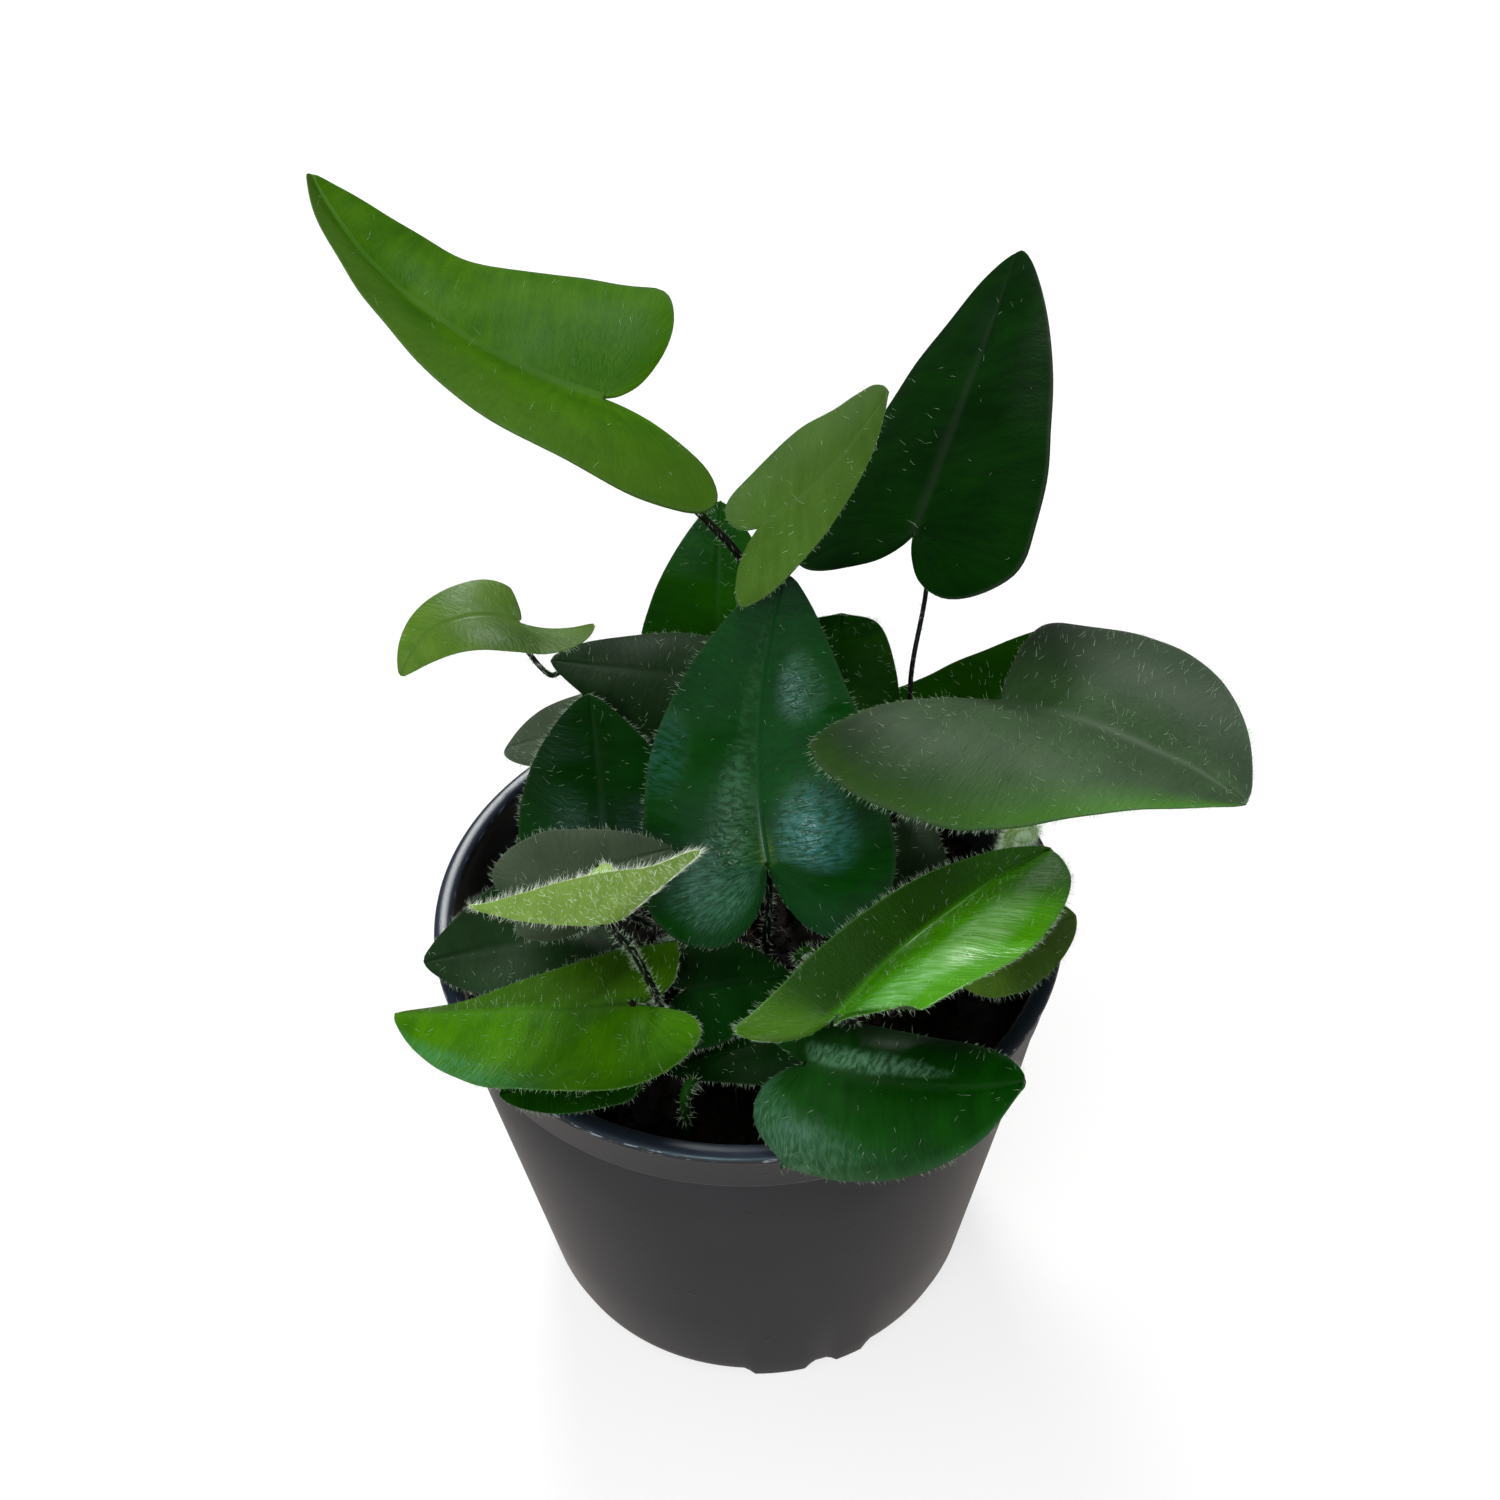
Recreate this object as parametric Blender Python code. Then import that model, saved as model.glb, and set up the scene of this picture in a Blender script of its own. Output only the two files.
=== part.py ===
"""Heart fern in a round grower's pot.

Every frond is one green heart-shaped blade on one dark wiry stipe.
The stipes stand in plain holes in the soil, and the soil fills the pot.
Units in the tables of this file are millimetres and degrees; meshes are metres.
X points to the right, Y points to the back, Z points up, the pot stands on Z = 0.
"""
import math

import bmesh
import bpy
from mathutils import Vector
from mathutils.bvhtree import BVHTree

# Driving sizes in millimetres
POT_HEIGHT = 94.0
POT_RIM_RADIUS = 60.0
POT_BASE_RADIUS = 43.5
POT_WALL = 1.6
POT_FLOOR = 3.8
POT_COLLAR_DEPTH = 10.5
POT_COLLAR_STEP = 0.5
POT_LIP_WIDTH = 3.4
POT_LIP_DEPTH = 3.0
POT_SIDES = 44
FOOT_HEIGHT = 2.2
FOOT_WIDTH = 3.0
FOOT_GROUPS = 3
SOIL_TOP = 80.0
HOLE_DEPTH = 7.0
GAP = 0.3
BLADE_THICKNESS = 0.62
STIPE_SIDES = 5

# Half of a heart-shaped blade from the tip round the lobe to the notch where the
# stipe joins: share of the length (or of the lobe, when negative), share of half width
HEART = [(1.0, 0.0), (0.965, 0.13), (0.83, 0.37), (0.60, 0.655), (0.34, 0.88), (0.08, 1.0),
         (-0.45, 0.955), (-0.86, 0.74), (-1.0, 0.47), (-0.80, 0.22), (-0.40, 0.06), (0.0, 0.0)]
# A young blade has its lobes drawn out to corners, like an arrowhead
ARROW = [(1.0, 0.0), (0.93, 0.10), (0.76, 0.32), (0.52, 0.56), (0.22, 0.76), (-0.3, 0.90),
         (-0.78, 1.0), (-1.0, 0.98), (-0.95, 0.82), (-0.5, 0.38), (0.0, 0.0)]


def clear_scene():
    for thing in list(bpy.data.objects):
        bpy.data.objects.remove(thing, do_unlink=True)


def material(name, colour, roughness, coat=0.0):
    made = bpy.data.materials.get(name)
    if made is not None:
        return made
    made = bpy.data.materials.new(name)
    made.use_nodes = True
    shader = made.node_tree.nodes["Principled BSDF"]
    shader.inputs["Base Color"].default_value = (colour[0], colour[1], colour[2], 1.0)
    shader.inputs["Roughness"].default_value = roughness
    shader.inputs["Coat Weight"].default_value = coat
    return made


def add_object(name, points, faces, finish):
    """Make a closed mesh object from points in millimetres."""
    mesh = bpy.data.meshes.new(name)
    mesh.from_pydata([(p[0] * 0.001, p[1] * 0.001, p[2] * 0.001) for p in points], [], faces)
    mesh.materials.append(finish)
    mesh.polygons.foreach_set("use_smooth", [True] * len(mesh.polygons))
    mesh.update()
    thing = bpy.data.objects.new(name, mesh)
    bpy.context.scene.collection.objects.link(thing)
    return thing


def smooth_line(points, steps):
    """Run a rounded line through the given points of half a blade."""
    first = (points[0][0], -points[1][1])
    last = (0.35, 0.0)
    row = [first] + list(points) + [last]
    line = []
    for i in range(1, len(row) - 2):
        a, b, c, d = row[i - 1], row[i], row[i + 1], row[i + 2]
        for k in range(steps):
            t = k / steps
            line.append(tuple(
                0.5 * (2 * b[n] + (c[n] - a[n]) * t + (2 * a[n] - 5 * b[n] + 4 * c[n] - d[n]) * t * t
                       + (3 * b[n] - a[n] - 3 * c[n] + d[n]) * t ** 3) for n in (0, 1)))
    line.append(points[-1])
    return line


def even_points(line, count):
    """Pick points at even distances along a line, both ends kept."""
    walked = [0.0]
    for a, b in zip(line, line[1:]):
        walked.append(walked[-1] + math.hypot(b[0] - a[0], b[1] - a[1]))
    picked = []
    at = 0
    for k in range(count + 1):
        goal = walked[-1] * k / count
        while at < len(line) - 2 and walked[at + 1] < goal:
            at += 1
        share = (goal - walked[at]) / max(walked[at + 1] - walked[at], 1e-9)
        a, b = line[at], line[at + 1]
        picked.append((a[0] + (b[0] - a[0]) * share, a[1] + (b[1] - a[1]) * share))
    return picked


def half_outline(leaf, side, count):
    """Edge of one half of the flat blade, tip to notch, side +1 is the left half."""
    length = leaf["length"]
    lobe = leaf["lobe"] * length * (1 + side * leaf["lobe_lean"])
    half = leaf["width"] / 2 * (1 + side * leaf["lean"])
    shape = ARROW if leaf["young"] else HEART
    line = []
    for u, v in smooth_line(shape, 4):
        v += leaf["flare"] * 0.45 * min(max(-u, 0.0), 1.0) ** 1.5 * (1.15 - v)
        line.append((u * length if u > 0 else u * lobe, v * half))
    for dent_side, at, depth, reach in leaf["dents"]:
        if dent_side == side:
            line = [(u, v - depth * math.exp(-((u - at) / reach) ** 2) * min(1.0, v / (half * 0.4)))
                    for u, v in line]
    line = even_points(line, count)
    return [(u, side * v) for u, v in line]


def bend_point(leaf, u, v):
    """Lay a point of the flat blade on its folded, curled and twisted surface."""
    length = leaf["length"]
    half = leaf["width"] / 2
    side = -1.0 if v < 0 else 1.0
    reach = abs(v)
    fold = math.radians(leaf["fold"][1] if v < 0 else leaf["fold"][0])
    arch = math.radians(leaf["arch"]) / half + 1e-9
    y = side * (math.sin(fold) - math.sin(fold - arch * reach)) / arch
    z = (math.cos(fold - arch * reach) - math.cos(fold)) / arch
    z += leaf["wave"] * (reach / half) ** 2 * math.sin(u / length * 9.0 + side * 1.3 + leaf["seed"])
    if u > 0:
        rate = math.radians(leaf["curl"]) / length + 1e-9
    else:
        rate = -math.radians(leaf["droop"]) / (leaf["lobe"] * length) + 1e-9
    turn = rate * u
    x_mid = math.sin(turn) / rate
    z_mid = (1 - math.cos(turn)) / rate
    spin = math.radians(leaf["twist"]) * u / length
    y, z = y * math.cos(spin) - z * math.sin(spin), y * math.sin(spin) + z * math.cos(spin)
    x = x_mid - z * math.sin(turn)
    z = z_mid + z * math.cos(turn)
    swing = math.radians(leaf["bow"]) * max(u, 0.0) / length / 2
    x, y = x * math.cos(swing) - y * math.sin(swing), x * math.sin(swing) + y * math.cos(swing)
    return x, y, z


def leaf_axes(leaf):
    """Directions of the blade at its notch: towards the tip, to its left, out of its face."""
    heading = math.radians(leaf["heading"])
    rise = math.radians(leaf["rise"])
    roll = math.radians(leaf["roll"])
    ahead = Vector((math.cos(heading) * math.cos(rise), math.sin(heading) * math.cos(rise),
                    math.sin(rise)))
    left = Vector((-math.sin(heading), math.cos(heading), 0.0))
    up = ahead.cross(left)
    left_rolled = left * math.cos(roll) + up * math.sin(roll)
    up_rolled = up * math.cos(roll) - left * math.sin(roll)
    return ahead, left_rolled, up_rolled


def place_point(leaf, u, v):
    ahead, left, up = leaf_axes(leaf)
    x, y, z = bend_point(leaf, u, v)
    return Vector(leaf["base"]) + ahead * x + left * y + up * z


def blade_sheet(leaf, count, rows):
    """Upper face of the blade as points and triangles, fanned like its veins."""
    index = {}
    points = []
    faces = []

    def point(u, v):
        key = (round(u, 4), round(v, 4))
        if key not in index:
            index[key] = len(points)
            points.append(place_point(leaf, u, v))
        return index[key]

    length = leaf["length"]
    edges = [half_outline(leaf, side, count) for side in (1, -1)]
    starts = [length * max((a[0] + b[0]) / 2 / length, 0.0) ** 1.25 for a, b in zip(*edges)]
    for side, edge in zip((1, -1), edges):
        grid = []
        for (u, v), inner in zip(edge, starts):
            grid.append([point(inner + (u - inner) * j / rows, v * j / rows) for j in range(rows + 1)])
        for a, b in zip(grid, grid[1:]):
            for j in range(rows):
                quad = [a[j], a[j + 1], b[j + 1], b[j]]
                if side > 0:
                    cuts = [(quad[0], quad[1], quad[2]), (quad[0], quad[2], quad[3])]
                else:
                    cuts = [(quad[0], quad[2], quad[1]), (quad[0], quad[3], quad[2])]
                for cut in cuts:
                    if len(set(cut)) == 3:
                        faces.append(cut)
    return points, faces


def blade_solid(name, leaf, count, rows, finish):
    points, faces = blade_sheet(leaf, count, rows)
    lift = [Vector((0.0, 0.0, 0.0)) for _ in points]
    for a, b, c in faces:
        across = (points[b] - points[a]).cross(points[c] - points[a])
        for k in (a, b, c):
            lift[k] += across
    total = len(points)
    under = [p - n.normalized() * BLADE_THICKNESS for p, n in zip(points, lift)]
    skin = list(faces)
    skin += [(c + total, b + total, a + total) for a, b, c in faces]
    border = {}
    for a, b, c in faces:
        for edge in ((a, b), (b, c), (c, a)):
            border[edge] = True
    for a, b in list(border):
        if (b, a) not in border:
            skin.append((b, a, a + total))
            skin.append((b, a + total, b + total))
    return add_object(name, points + under, skin, finish)


def tube(name, path, radii, sides, finish):
    """Round stem along a path of points, closed at both ends."""
    points = []
    faces = []
    ring = len(path)
    side_way = Vector((1.0, 0.0, 0.0))
    for i, spot in enumerate(path):
        ahead = (path[min(i + 1, ring - 1)] - path[max(i - 1, 0)]).normalized()
        side_way = (side_way - ahead * side_way.dot(ahead)).normalized()
        other = ahead.cross(side_way)
        for k in range(sides):
            angle = 2 * math.pi * k / sides
            points.append(spot + (side_way * math.cos(angle) + other * math.sin(angle)) * radii[i])
    for i in range(ring - 1):
        for k in range(sides):
            a = i * sides + k
            b = i * sides + (k + 1) % sides
            faces.append((a, b, b + sides, a + sides))
    faces.append(tuple(reversed(range(sides))))
    faces.append(tuple(range((ring - 1) * sides, ring * sides)))
    return add_object(name, points, faces, finish)


def stipe_path(leaf, end, steps):
    """Line of the stipe: straight up out of its hole, past its bends and up to the blade."""
    ahead, _, up = leaf_axes(leaf)
    root = Vector((leaf["root"][0], leaf["root"][1], SOIL_TOP + 1.0))
    spots = [root] + [Vector(spot) for spot in leaf["via"]] + [end]
    arrive = (ahead * leaf["arrive"][0] + up * leaf["arrive"][1]).normalized()
    pulls = [Vector((0.0, 0.0, (spots[1] - root).length))]
    for a, c in zip(spots, spots[2:]):
        pulls.append((c - a) * 0.5)
    pulls.append(arrive * (spots[-1] - spots[-2]).length)
    path = [root - Vector((0.0, 0.0, HOLE_DEPTH))]
    for i in range(len(spots) - 1):
        for k in range(steps):
            t = k / steps
            path.append(spots[i] * (2 * t ** 3 - 3 * t * t + 1) + spots[i + 1] * (3 * t * t - 2 * t ** 3)
                        + pulls[i] * (t ** 3 - 2 * t * t + t) + pulls[i + 1] * (t ** 3 - t * t))
    path.append(end)
    return path


def surface_tree(thing):
    points = [v.co.copy() for v in thing.data.vertices]
    faces = [tuple(p.vertices) for p in thing.data.polygons]
    return BVHTree.FromPolygons(points, faces)


def add_stipe(name, leaf, blade, finish):
    """Stipe whose upper end stops just under the notch of its blade."""
    ahead, _, up = leaf_axes(leaf)
    base = Vector(leaf["base"])
    tree = surface_tree(blade)
    radius = leaf["stem"]
    end = base - up * (BLADE_THICKNESS + 1.6) - ahead * 0.8
    steps = 8 if not leaf["via"] else 5
    for _ in range(6):
        path = stipe_path(leaf, end, steps)
        direction = (path[-1] - path[-2]).normalized()
        near = 1e9
        across = direction.orthogonal().normalized()
        other = direction.cross(across)
        for k in range(12):
            angle = math.pi * k / 6
            spot = end + (across * math.cos(angle) + other * math.sin(angle)) * radius
            near = min(near, tree.find_nearest(spot * 0.001)[3] * 1000)
        end = end + direction * (near - GAP - 0.06)
    path = stipe_path(leaf, end, steps)
    count = len(path) - 1
    radii = [radius * (1.25 - 0.25 * k / count) for k in range(count + 1)]
    tube(name, path, radii, STIPE_SIDES, finish)


def frond(name, base, heading, rise, roll, length, width, lobe, fold, arch, curl, droop,
          lean=0.0, lobe_lean=0.0, bow=0.0, twist=0.0, root=(0, 0), stem=0.6, young=False,
          dents=(), wave=0.4, arrive=(0.5, 0.8), via=(), flare=0.0):
    return dict(name=name, base=base, heading=heading, rise=rise, roll=roll, length=length,
                width=width, lobe=lobe, fold=fold, arch=arch, curl=curl, droop=droop, lean=lean,
                lobe_lean=lobe_lean, bow=bow, twist=twist, root=root, stem=stem, young=young,
                dents=dents, wave=wave, arrive=arrive, via=via,
                flare=flare, seed=len(name) * 0.7 + length * 0.37)


# Fronds, named after the place of their blade seen from the front.
# base is where the stipe meets the blade; heading is turned from X towards Y
FRONDS = [
    frond("tall_left", base=(-21, 6, 205.5), heading=167, rise=13, roll=14, length=69, width=66,
          lobe=0.21, fold=(16, 27), arch=18, curl=19, droop=12, lobe_lean=0.6, bow=-52, twist=26,
          root=(1, 12), stem=0.75, dents=((-1, 38, 2.5, 9),), arrive=(-0.2, 1.0),
          via=((5, 21, 110), (8, 21, 137), (1, 22, 159), (-8, 14, 179))),
    frond("tall_right", base=(32, 30, 159), heading=64, rise=31, roll=-23, length=67, width=62,
          lobe=0.15, fold=(1, 10), arch=30, curl=-17, droop=-1, lean=0.2, lobe_lean=-0.2,
          bow=16, twist=-12, root=(14, 14), stem=0.5, arrive=(0.2, 1.0),
          via=((29, 18, 100), (32, 27, 127))),
    frond("upper_middle", base=(4, 19, 170), heading=-19, rise=45, roll=15, length=43, width=37,
          lobe=0.16, fold=(-1, 2), arch=-2, curl=26, droop=-19, lobe_lean=0.4, bow=-6, twist=10,
          root=(3, 9), stem=0.6, via=((8, 19, 145),)),
    frond("back_middle", base=(-5, 37, 122), heading=81, rise=62, roll=0, length=34, width=31,
          lobe=0.30, fold=(17, 18), arch=23, curl=17, droop=0, root=(-1, 16), arrive=(0.8, 0.5)),
    frond("middle_left", base=(-3.5, 15, 137.5), heading=184, rise=14, roll=-14, length=32, width=29,
          lobe=0.30, fold=(9, 9), arch=44, curl=1, droop=0, lean=0.1, root=(-8, 7)),
    frond("left_upright", base=(-26, -3, 113), heading=92, rise=64, roll=-7, length=33, width=34,
          lobe=0.30, fold=(13, 18), arch=34, curl=26, droop=0, lobe_lean=-0.2, root=(-12, 3),
          arrive=(0.8, 0.5), via=((-17, 4, 100),)),
    frond("left_back", base=(-26, 31, 110.5), heading=172, rise=-5, roll=-7, length=26.5, width=22.5,
          lobe=0.30, fold=(16, 18), arch=10, curl=-44, droop=0, bow=-17, root=(-13, 11)),
    frond("centre_large", base=(3.5, -14.5, 120), heading=109, rise=62, roll=-9, length=53, width=47,
          lobe=0.29, fold=(6, 18), arch=25, curl=4, droop=2, lobe_lean=-0.1,
          bow=-27, twist=-3, root=(3, -4), stem=0.75, dents=((1, 9, 1.9, 10),), arrive=(0.9, 0.4)),
    frond("back_right", base=(18, 24, 117), heading=90, rise=64, roll=1, length=33, width=28,
          lobe=0.30, fold=(-3, -3), arch=38, curl=66, droop=0, root=(8, 12), arrive=(0.8, 0.5)),
    frond("right_large", base=(45.5, 0, 143.5), heading=-29, rise=8, roll=-7, length=54, width=70,
          lobe=0.23, fold=(28, 31), arch=58, curl=5, droop=3, lean=-0.1, lobe_lean=-0.8,
          bow=-38, twist=10, root=(16, 4), stem=0.75, flare=0.9),
    frond("right_back", base=(42, 33, 106.5), heading=45, rise=-8, roll=-15, length=37, width=34,
          lobe=0.30, fold=(24, 18), arch=5, curl=28, droop=0, bow=5, twist=-6, root=(17, 9)),
    frond("front_right_glossy", base=(15.4, -50, 117.5), heading=46, rise=14, roll=-15, length=57,
          width=46, lobe=0.25, fold=(46, 42), arch=9, curl=-31, droop=-36, lean=-0.5, lobe_lean=0.4,
          bow=9, twist=37, root=(8, -10), flare=0.6, arrive=(-0.5, 0.8), via=((13, -30, 104),)),
    frond("right_low", base=(30, 0, 94), heading=80, rise=38, roll=2, length=21, width=17.5,
          lobe=0.30, fold=(15, 16), arch=19, curl=-50, droop=0, root=(18, -2)),
    frond("right_rim", base=(41, -19, 103), heading=26, rise=-10, roll=14, length=24, width=26.5,
          lobe=0.35, fold=(21, 16), arch=17, curl=-13, droop=0, bow=3, twist=4, root=(17, -8)),
    frond("front_right_pointed", base=(9.3, -51, 107.7), heading=-20, rise=-2, roll=6, length=43,
          width=38.5, lobe=0.25, fold=(19, 3), arch=87, curl=47, droop=50, lean=-0.1,
          bow=-7, root=(17, -16), via=((16, -34, 98),), flare=0.3),
    frond("front_left_bright", base=(-20, -42, 115.3), heading=170, rise=-14, roll=12, length=48,
          width=50, lobe=0.17, fold=(-26, -36), arch=-55, curl=-5, droop=-15, lobe_lean=0.7,
          bow=-11, root=(-20, -12), via=((-21.5, -26, 101),)),
    frond("left_rim", base=(-29.5, -9.5, 99.7), heading=194, rise=-3, roll=-7, length=31.5, width=34,
          lobe=0.19, fold=(6, 10), arch=-25, curl=-4, droop=0, lean=0.1, bow=-5, twist=-12,
          root=(-18, -3)),
    frond("front_left_young", base=(-21.8, -42.5, 134), heading=213, rise=22, roll=44, length=28.5,
          width=34.5, lobe=0.40, fold=(49, 47), arch=20, curl=26, droop=-13, twist=14, young=True,
          root=(-17, -8), stem=0.7,
          via=((-19, -22, 97), (-15.8, -38, 108), (-16.2, -40.2, 114.5), (-19.2, -42, 127))),
    frond("left_low_grey", base=(-34.4, -28, 128), heading=23, rise=7, roll=13, length=23.5,
          width=21, lobe=0.33, fold=(20, 18), arch=11, curl=-18, droop=3, root=(-15, 6),
          via=((-18.5, -8, 98), (-25, -18, 113))),
    frond("front_low_dark", base=(-11.5, -22, 95), heading=20, rise=-10, roll=20, length=21, width=23,
          lobe=0.27, fold=(18, 8), arch=26, curl=-12, droop=0, root=(-4, -9)),
    frond("front_low_middle", base=(8, -28, 87.5), heading=192, rise=-1, roll=4, length=24, width=21,
          lobe=0.30, fold=(22, 6), arch=12, curl=-11, droop=0, lean=0.3, root=(2, -16)),
    frond("front_left_rim", base=(-25, -43, 100), heading=192, rise=-7, roll=3, length=20, width=25,
          lobe=0.30, fold=(20, 4), arch=0, curl=-5, droop=0, lean=0.1, twist=-10, root=(-14, -18),
          via=((-19, -31, 87),)),
    frond("left_small_curled", base=(-38, 0, 165), heading=191, rise=38, roll=10, length=25, width=21,
          lobe=0.30, fold=(12, 18), arch=7, curl=-108, droop=-36, lean=0.1, lobe_lean=0.8,
          bow=-8, twist=-20, root=(-9, 14), stem=0.5,
          via=((-18, 16, 106), (-31, 23, 131), (-35.2, 16, 139.5), (-37, 4, 155))),
]


def ring(radius, height, sides):
    return [(radius * math.cos(2 * math.pi * k / sides), radius * math.sin(2 * math.pi * k / sides), height)
            for k in range(sides)]


def turned(name, profile, sides, finish):
    """Solid turned round the Z axis; the profile starts and ends on the axis."""
    points = [(0.0, 0.0, profile[0][1])]
    faces = []
    for radius, height in profile[1:-1]:
        points += ring(radius, height, sides)
    points.append((0.0, 0.0, profile[-1][1]))
    top = len(points) - 1
    last = top - sides
    for k in range(sides):
        n = (k + 1) % sides
        faces.append((0, 1 + n, 1 + k))
        faces.append((top, last + k, last + n))
    for row in range(len(profile) - 3):
        for k in range(sides):
            n = (k + 1) % sides
            a = 1 + row * sides
            faces.append((a + k, a + n, a + sides + n, a + sides + k))
    return add_object(name, points, faces, finish)


def pot_radius(height):
    """Outside radius of the straight wall at a height."""
    return POT_BASE_RADIUS + (POT_RIM_RADIUS - POT_BASE_RADIUS) * height / POT_HEIGHT


def cut_away(thing, cutters):
    """Subtract the cutters from a solid and drop them."""
    mould = bpy.data.collections.new("cutters")
    bpy.context.scene.collection.children.link(mould)
    for cutter in cutters:
        bpy.context.scene.collection.objects.unlink(cutter)
        mould.objects.link(cutter)
        cutter.hide_render = True
        cutter.display_type = "WIRE"
    step = thing.modifiers.new("cut", "BOOLEAN")
    step.operation = "DIFFERENCE"
    step.solver = "EXACT"
    step.operand_type = "COLLECTION"
    step.collection = mould
    bpy.context.view_layer.objects.active = thing
    bpy.ops.object.modifier_apply(modifier=step.name)
    for cutter in cutters:
        bpy.data.objects.remove(cutter, do_unlink=True)
    bpy.data.collections.remove(mould)


def edge_cutter(name, start, end, finish):
    """Block that lifts the lower edge of the pot between two angles."""
    steps = max(1, round((end - start) / 12))
    points = []
    for k in range(steps + 1):
        share = k / steps
        for height, inset in ((-1.0, -0.6), (FOOT_HEIGHT, 1.6)):
            angle = math.radians(start + inset + (end - start - 2 * inset) * share)
            for reach in (POT_BASE_RADIUS - FOOT_WIDTH, POT_BASE_RADIUS + 5.0):
                points.append((reach * math.cos(angle), reach * math.sin(angle), height))
    faces = [(0, 2, 3, 1)]
    for k in range(steps):
        a = 4 * k
        for p, q in ((0, 1), (1, 3), (3, 2), (2, 0)):
            faces.append((a + p, a + q, a + q + 4, a + p + 4))
    a = 4 * steps
    faces.append((a + 1, a + 3, a + 2, a))
    return add_object(name, points, faces, finish)


def make_pot(finish):
    collar = POT_HEIGHT - POT_COLLAR_DEPTH
    lip_inside = POT_RIM_RADIUS - POT_LIP_WIDTH
    profile = [
        (0.0, 0.0),
        (POT_BASE_RADIUS - 0.8, 0.0),
        (POT_BASE_RADIUS, 0.9),
        (pot_radius(collar) - POT_COLLAR_STEP, collar - 0.4),
        (pot_radius(collar), collar + 0.2),
        (POT_RIM_RADIUS - 0.4, POT_HEIGHT - 2.2),
        (POT_RIM_RADIUS, POT_HEIGHT - 1.2),
        (POT_RIM_RADIUS - 0.4, POT_HEIGHT - 0.35),
        (POT_RIM_RADIUS - 1.3, POT_HEIGHT),
        (lip_inside + 0.7, POT_HEIGHT - 0.1),
        (lip_inside, POT_HEIGHT - 0.9),
        (lip_inside, POT_HEIGHT - POT_LIP_DEPTH + 0.3),
        (lip_inside + 0.6, POT_HEIGHT - POT_LIP_DEPTH),
        (pot_radius(collar) - POT_WALL - POT_COLLAR_STEP, collar - 0.4),
        (pot_radius(POT_FLOOR) - POT_WALL, POT_FLOOR),
        (0.0, POT_FLOOR),
    ]
    pot = turned("pot", profile, POT_SIDES, finish)
    cutters = []
    for k in range(FOOT_GROUPS):
        turn = k * 360 / FOOT_GROUPS
        cutters.append(edge_cutter("edge_%d" % k, turn - 61, turn + 28, finish))
        cutters.append(edge_cutter("slot_%d" % k, turn - 77.5, turn - 69.5, finish))
    cut_away(pot, cutters)
    return pot


def soil_height(x, y):
    """Uneven top of the soil, level where the stipes stand."""
    reach = math.hypot(x, y)
    lumps = math.sin(x * 0.31 + 1.0) * math.cos(y * 0.27) + 0.6 * math.sin(x * 0.83 + y * 0.55)
    return SOIL_TOP + lumps * 0.9 - 0.0006 * reach * reach


def make_soil(finish, stems):
    """Soil as one solid that fills the pot, with a plain blind hole for each stem."""
    collar = POT_HEIGHT - POT_COLLAR_DEPTH
    slope = (pot_radius(collar) - POT_COLLAR_STEP - pot_radius(POT_FLOOR)) / (collar - POT_FLOOR)

    def inside(height):
        return pot_radius(POT_FLOOR) - POT_WALL - GAP * 1.1 + slope * (height - POT_FLOOR)

    sides = POT_SIDES // 2
    bottom = POT_FLOOR + GAP
    reaches = (10.0, 21.0, 32.0, 43.0, inside(SOIL_TOP - 2.0))
    points = [(0.0, 0.0, bottom)] + ring(inside(bottom), bottom, sides)
    faces = []
    for k in range(sides):
        faces.append((0, 1 + (k + 1) % sides, 1 + k))
    for reach in reversed(reaches):
        for x, y, _ in ring(reach, 0.0, sides):
            height = soil_height(x, y)
            if reach == reaches[-1]:
                height = SOIL_TOP - 2.0
            points.append((x, y, height))
    points.append((0.0, 0.0, soil_height(0.0, 0.0)))
    for row in range(len(reaches)):
        for k in range(sides):
            n = (k + 1) % sides
            a = 1 + row * sides
            faces.append((a + k, a + n, a + sides + n))
            faces.append((a + k, a + sides + n, a + sides + k))
    last = 1 + len(reaches) * sides
    for k in range(sides):
        faces.append((len(points) - 1, last + k, last + (k + 1) % sides))
    soil = add_object("soil", points, faces, finish)
    holes = []
    for i, (x, y, radius) in enumerate(stems):
        low = SOIL_TOP + 1.0 - HOLE_DEPTH - GAP
        path = [Vector((x, y, low)), Vector((x, y, SOIL_TOP + 6.0))]
        hole_radius = (radius + GAP) / math.cos(math.pi / 8)
        holes.append(tube("hole_%d" % i, path, (hole_radius, hole_radius), 8, finish))
    cut_away(soil, holes)
    return soil


def crozier_path(x, y, height, curl_radius, turn, lean):
    """Young frond still rolled up: a short upright stem that ends in a coil."""
    path = [Vector((x, y, SOIL_TOP + 1.0 - HOLE_DEPTH)), Vector((x, y, SOIL_TOP + 1.0))]
    way = Vector((math.cos(math.radians(turn)), math.sin(math.radians(turn)), 0.0))
    top = Vector((x, y, height - curl_radius)) + way * lean
    path.append(path[1].lerp(top, 0.5) - way * lean * 0.12)
    for k in range(9):
        angle = math.radians(180 - k * 38)
        reach = curl_radius * (1.0 - 0.055 * k)
        path.append(top + way * (curl_radius + reach * math.cos(angle))
                    + Vector((0.0, 0.0, reach * math.sin(angle))))
    return path


# Rolled young fronds: name, place, height of the top, radius of the coil, way it
# rolls, lean, radius of the stem
CROZIERS = [
    ("crozier_right_woolly", 49.5, 12.0, 101.0, 2.6, 10.0, 1.5, 1.25),
    ("crozier_front", -12.5, -42.0, 90.0, 2.0, 60.0, 0.5, 0.95),
    ("crozier_centre", 13.0, -6.0, 88.5, 1.9, 200.0, 0.8, 0.85),
]


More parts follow.
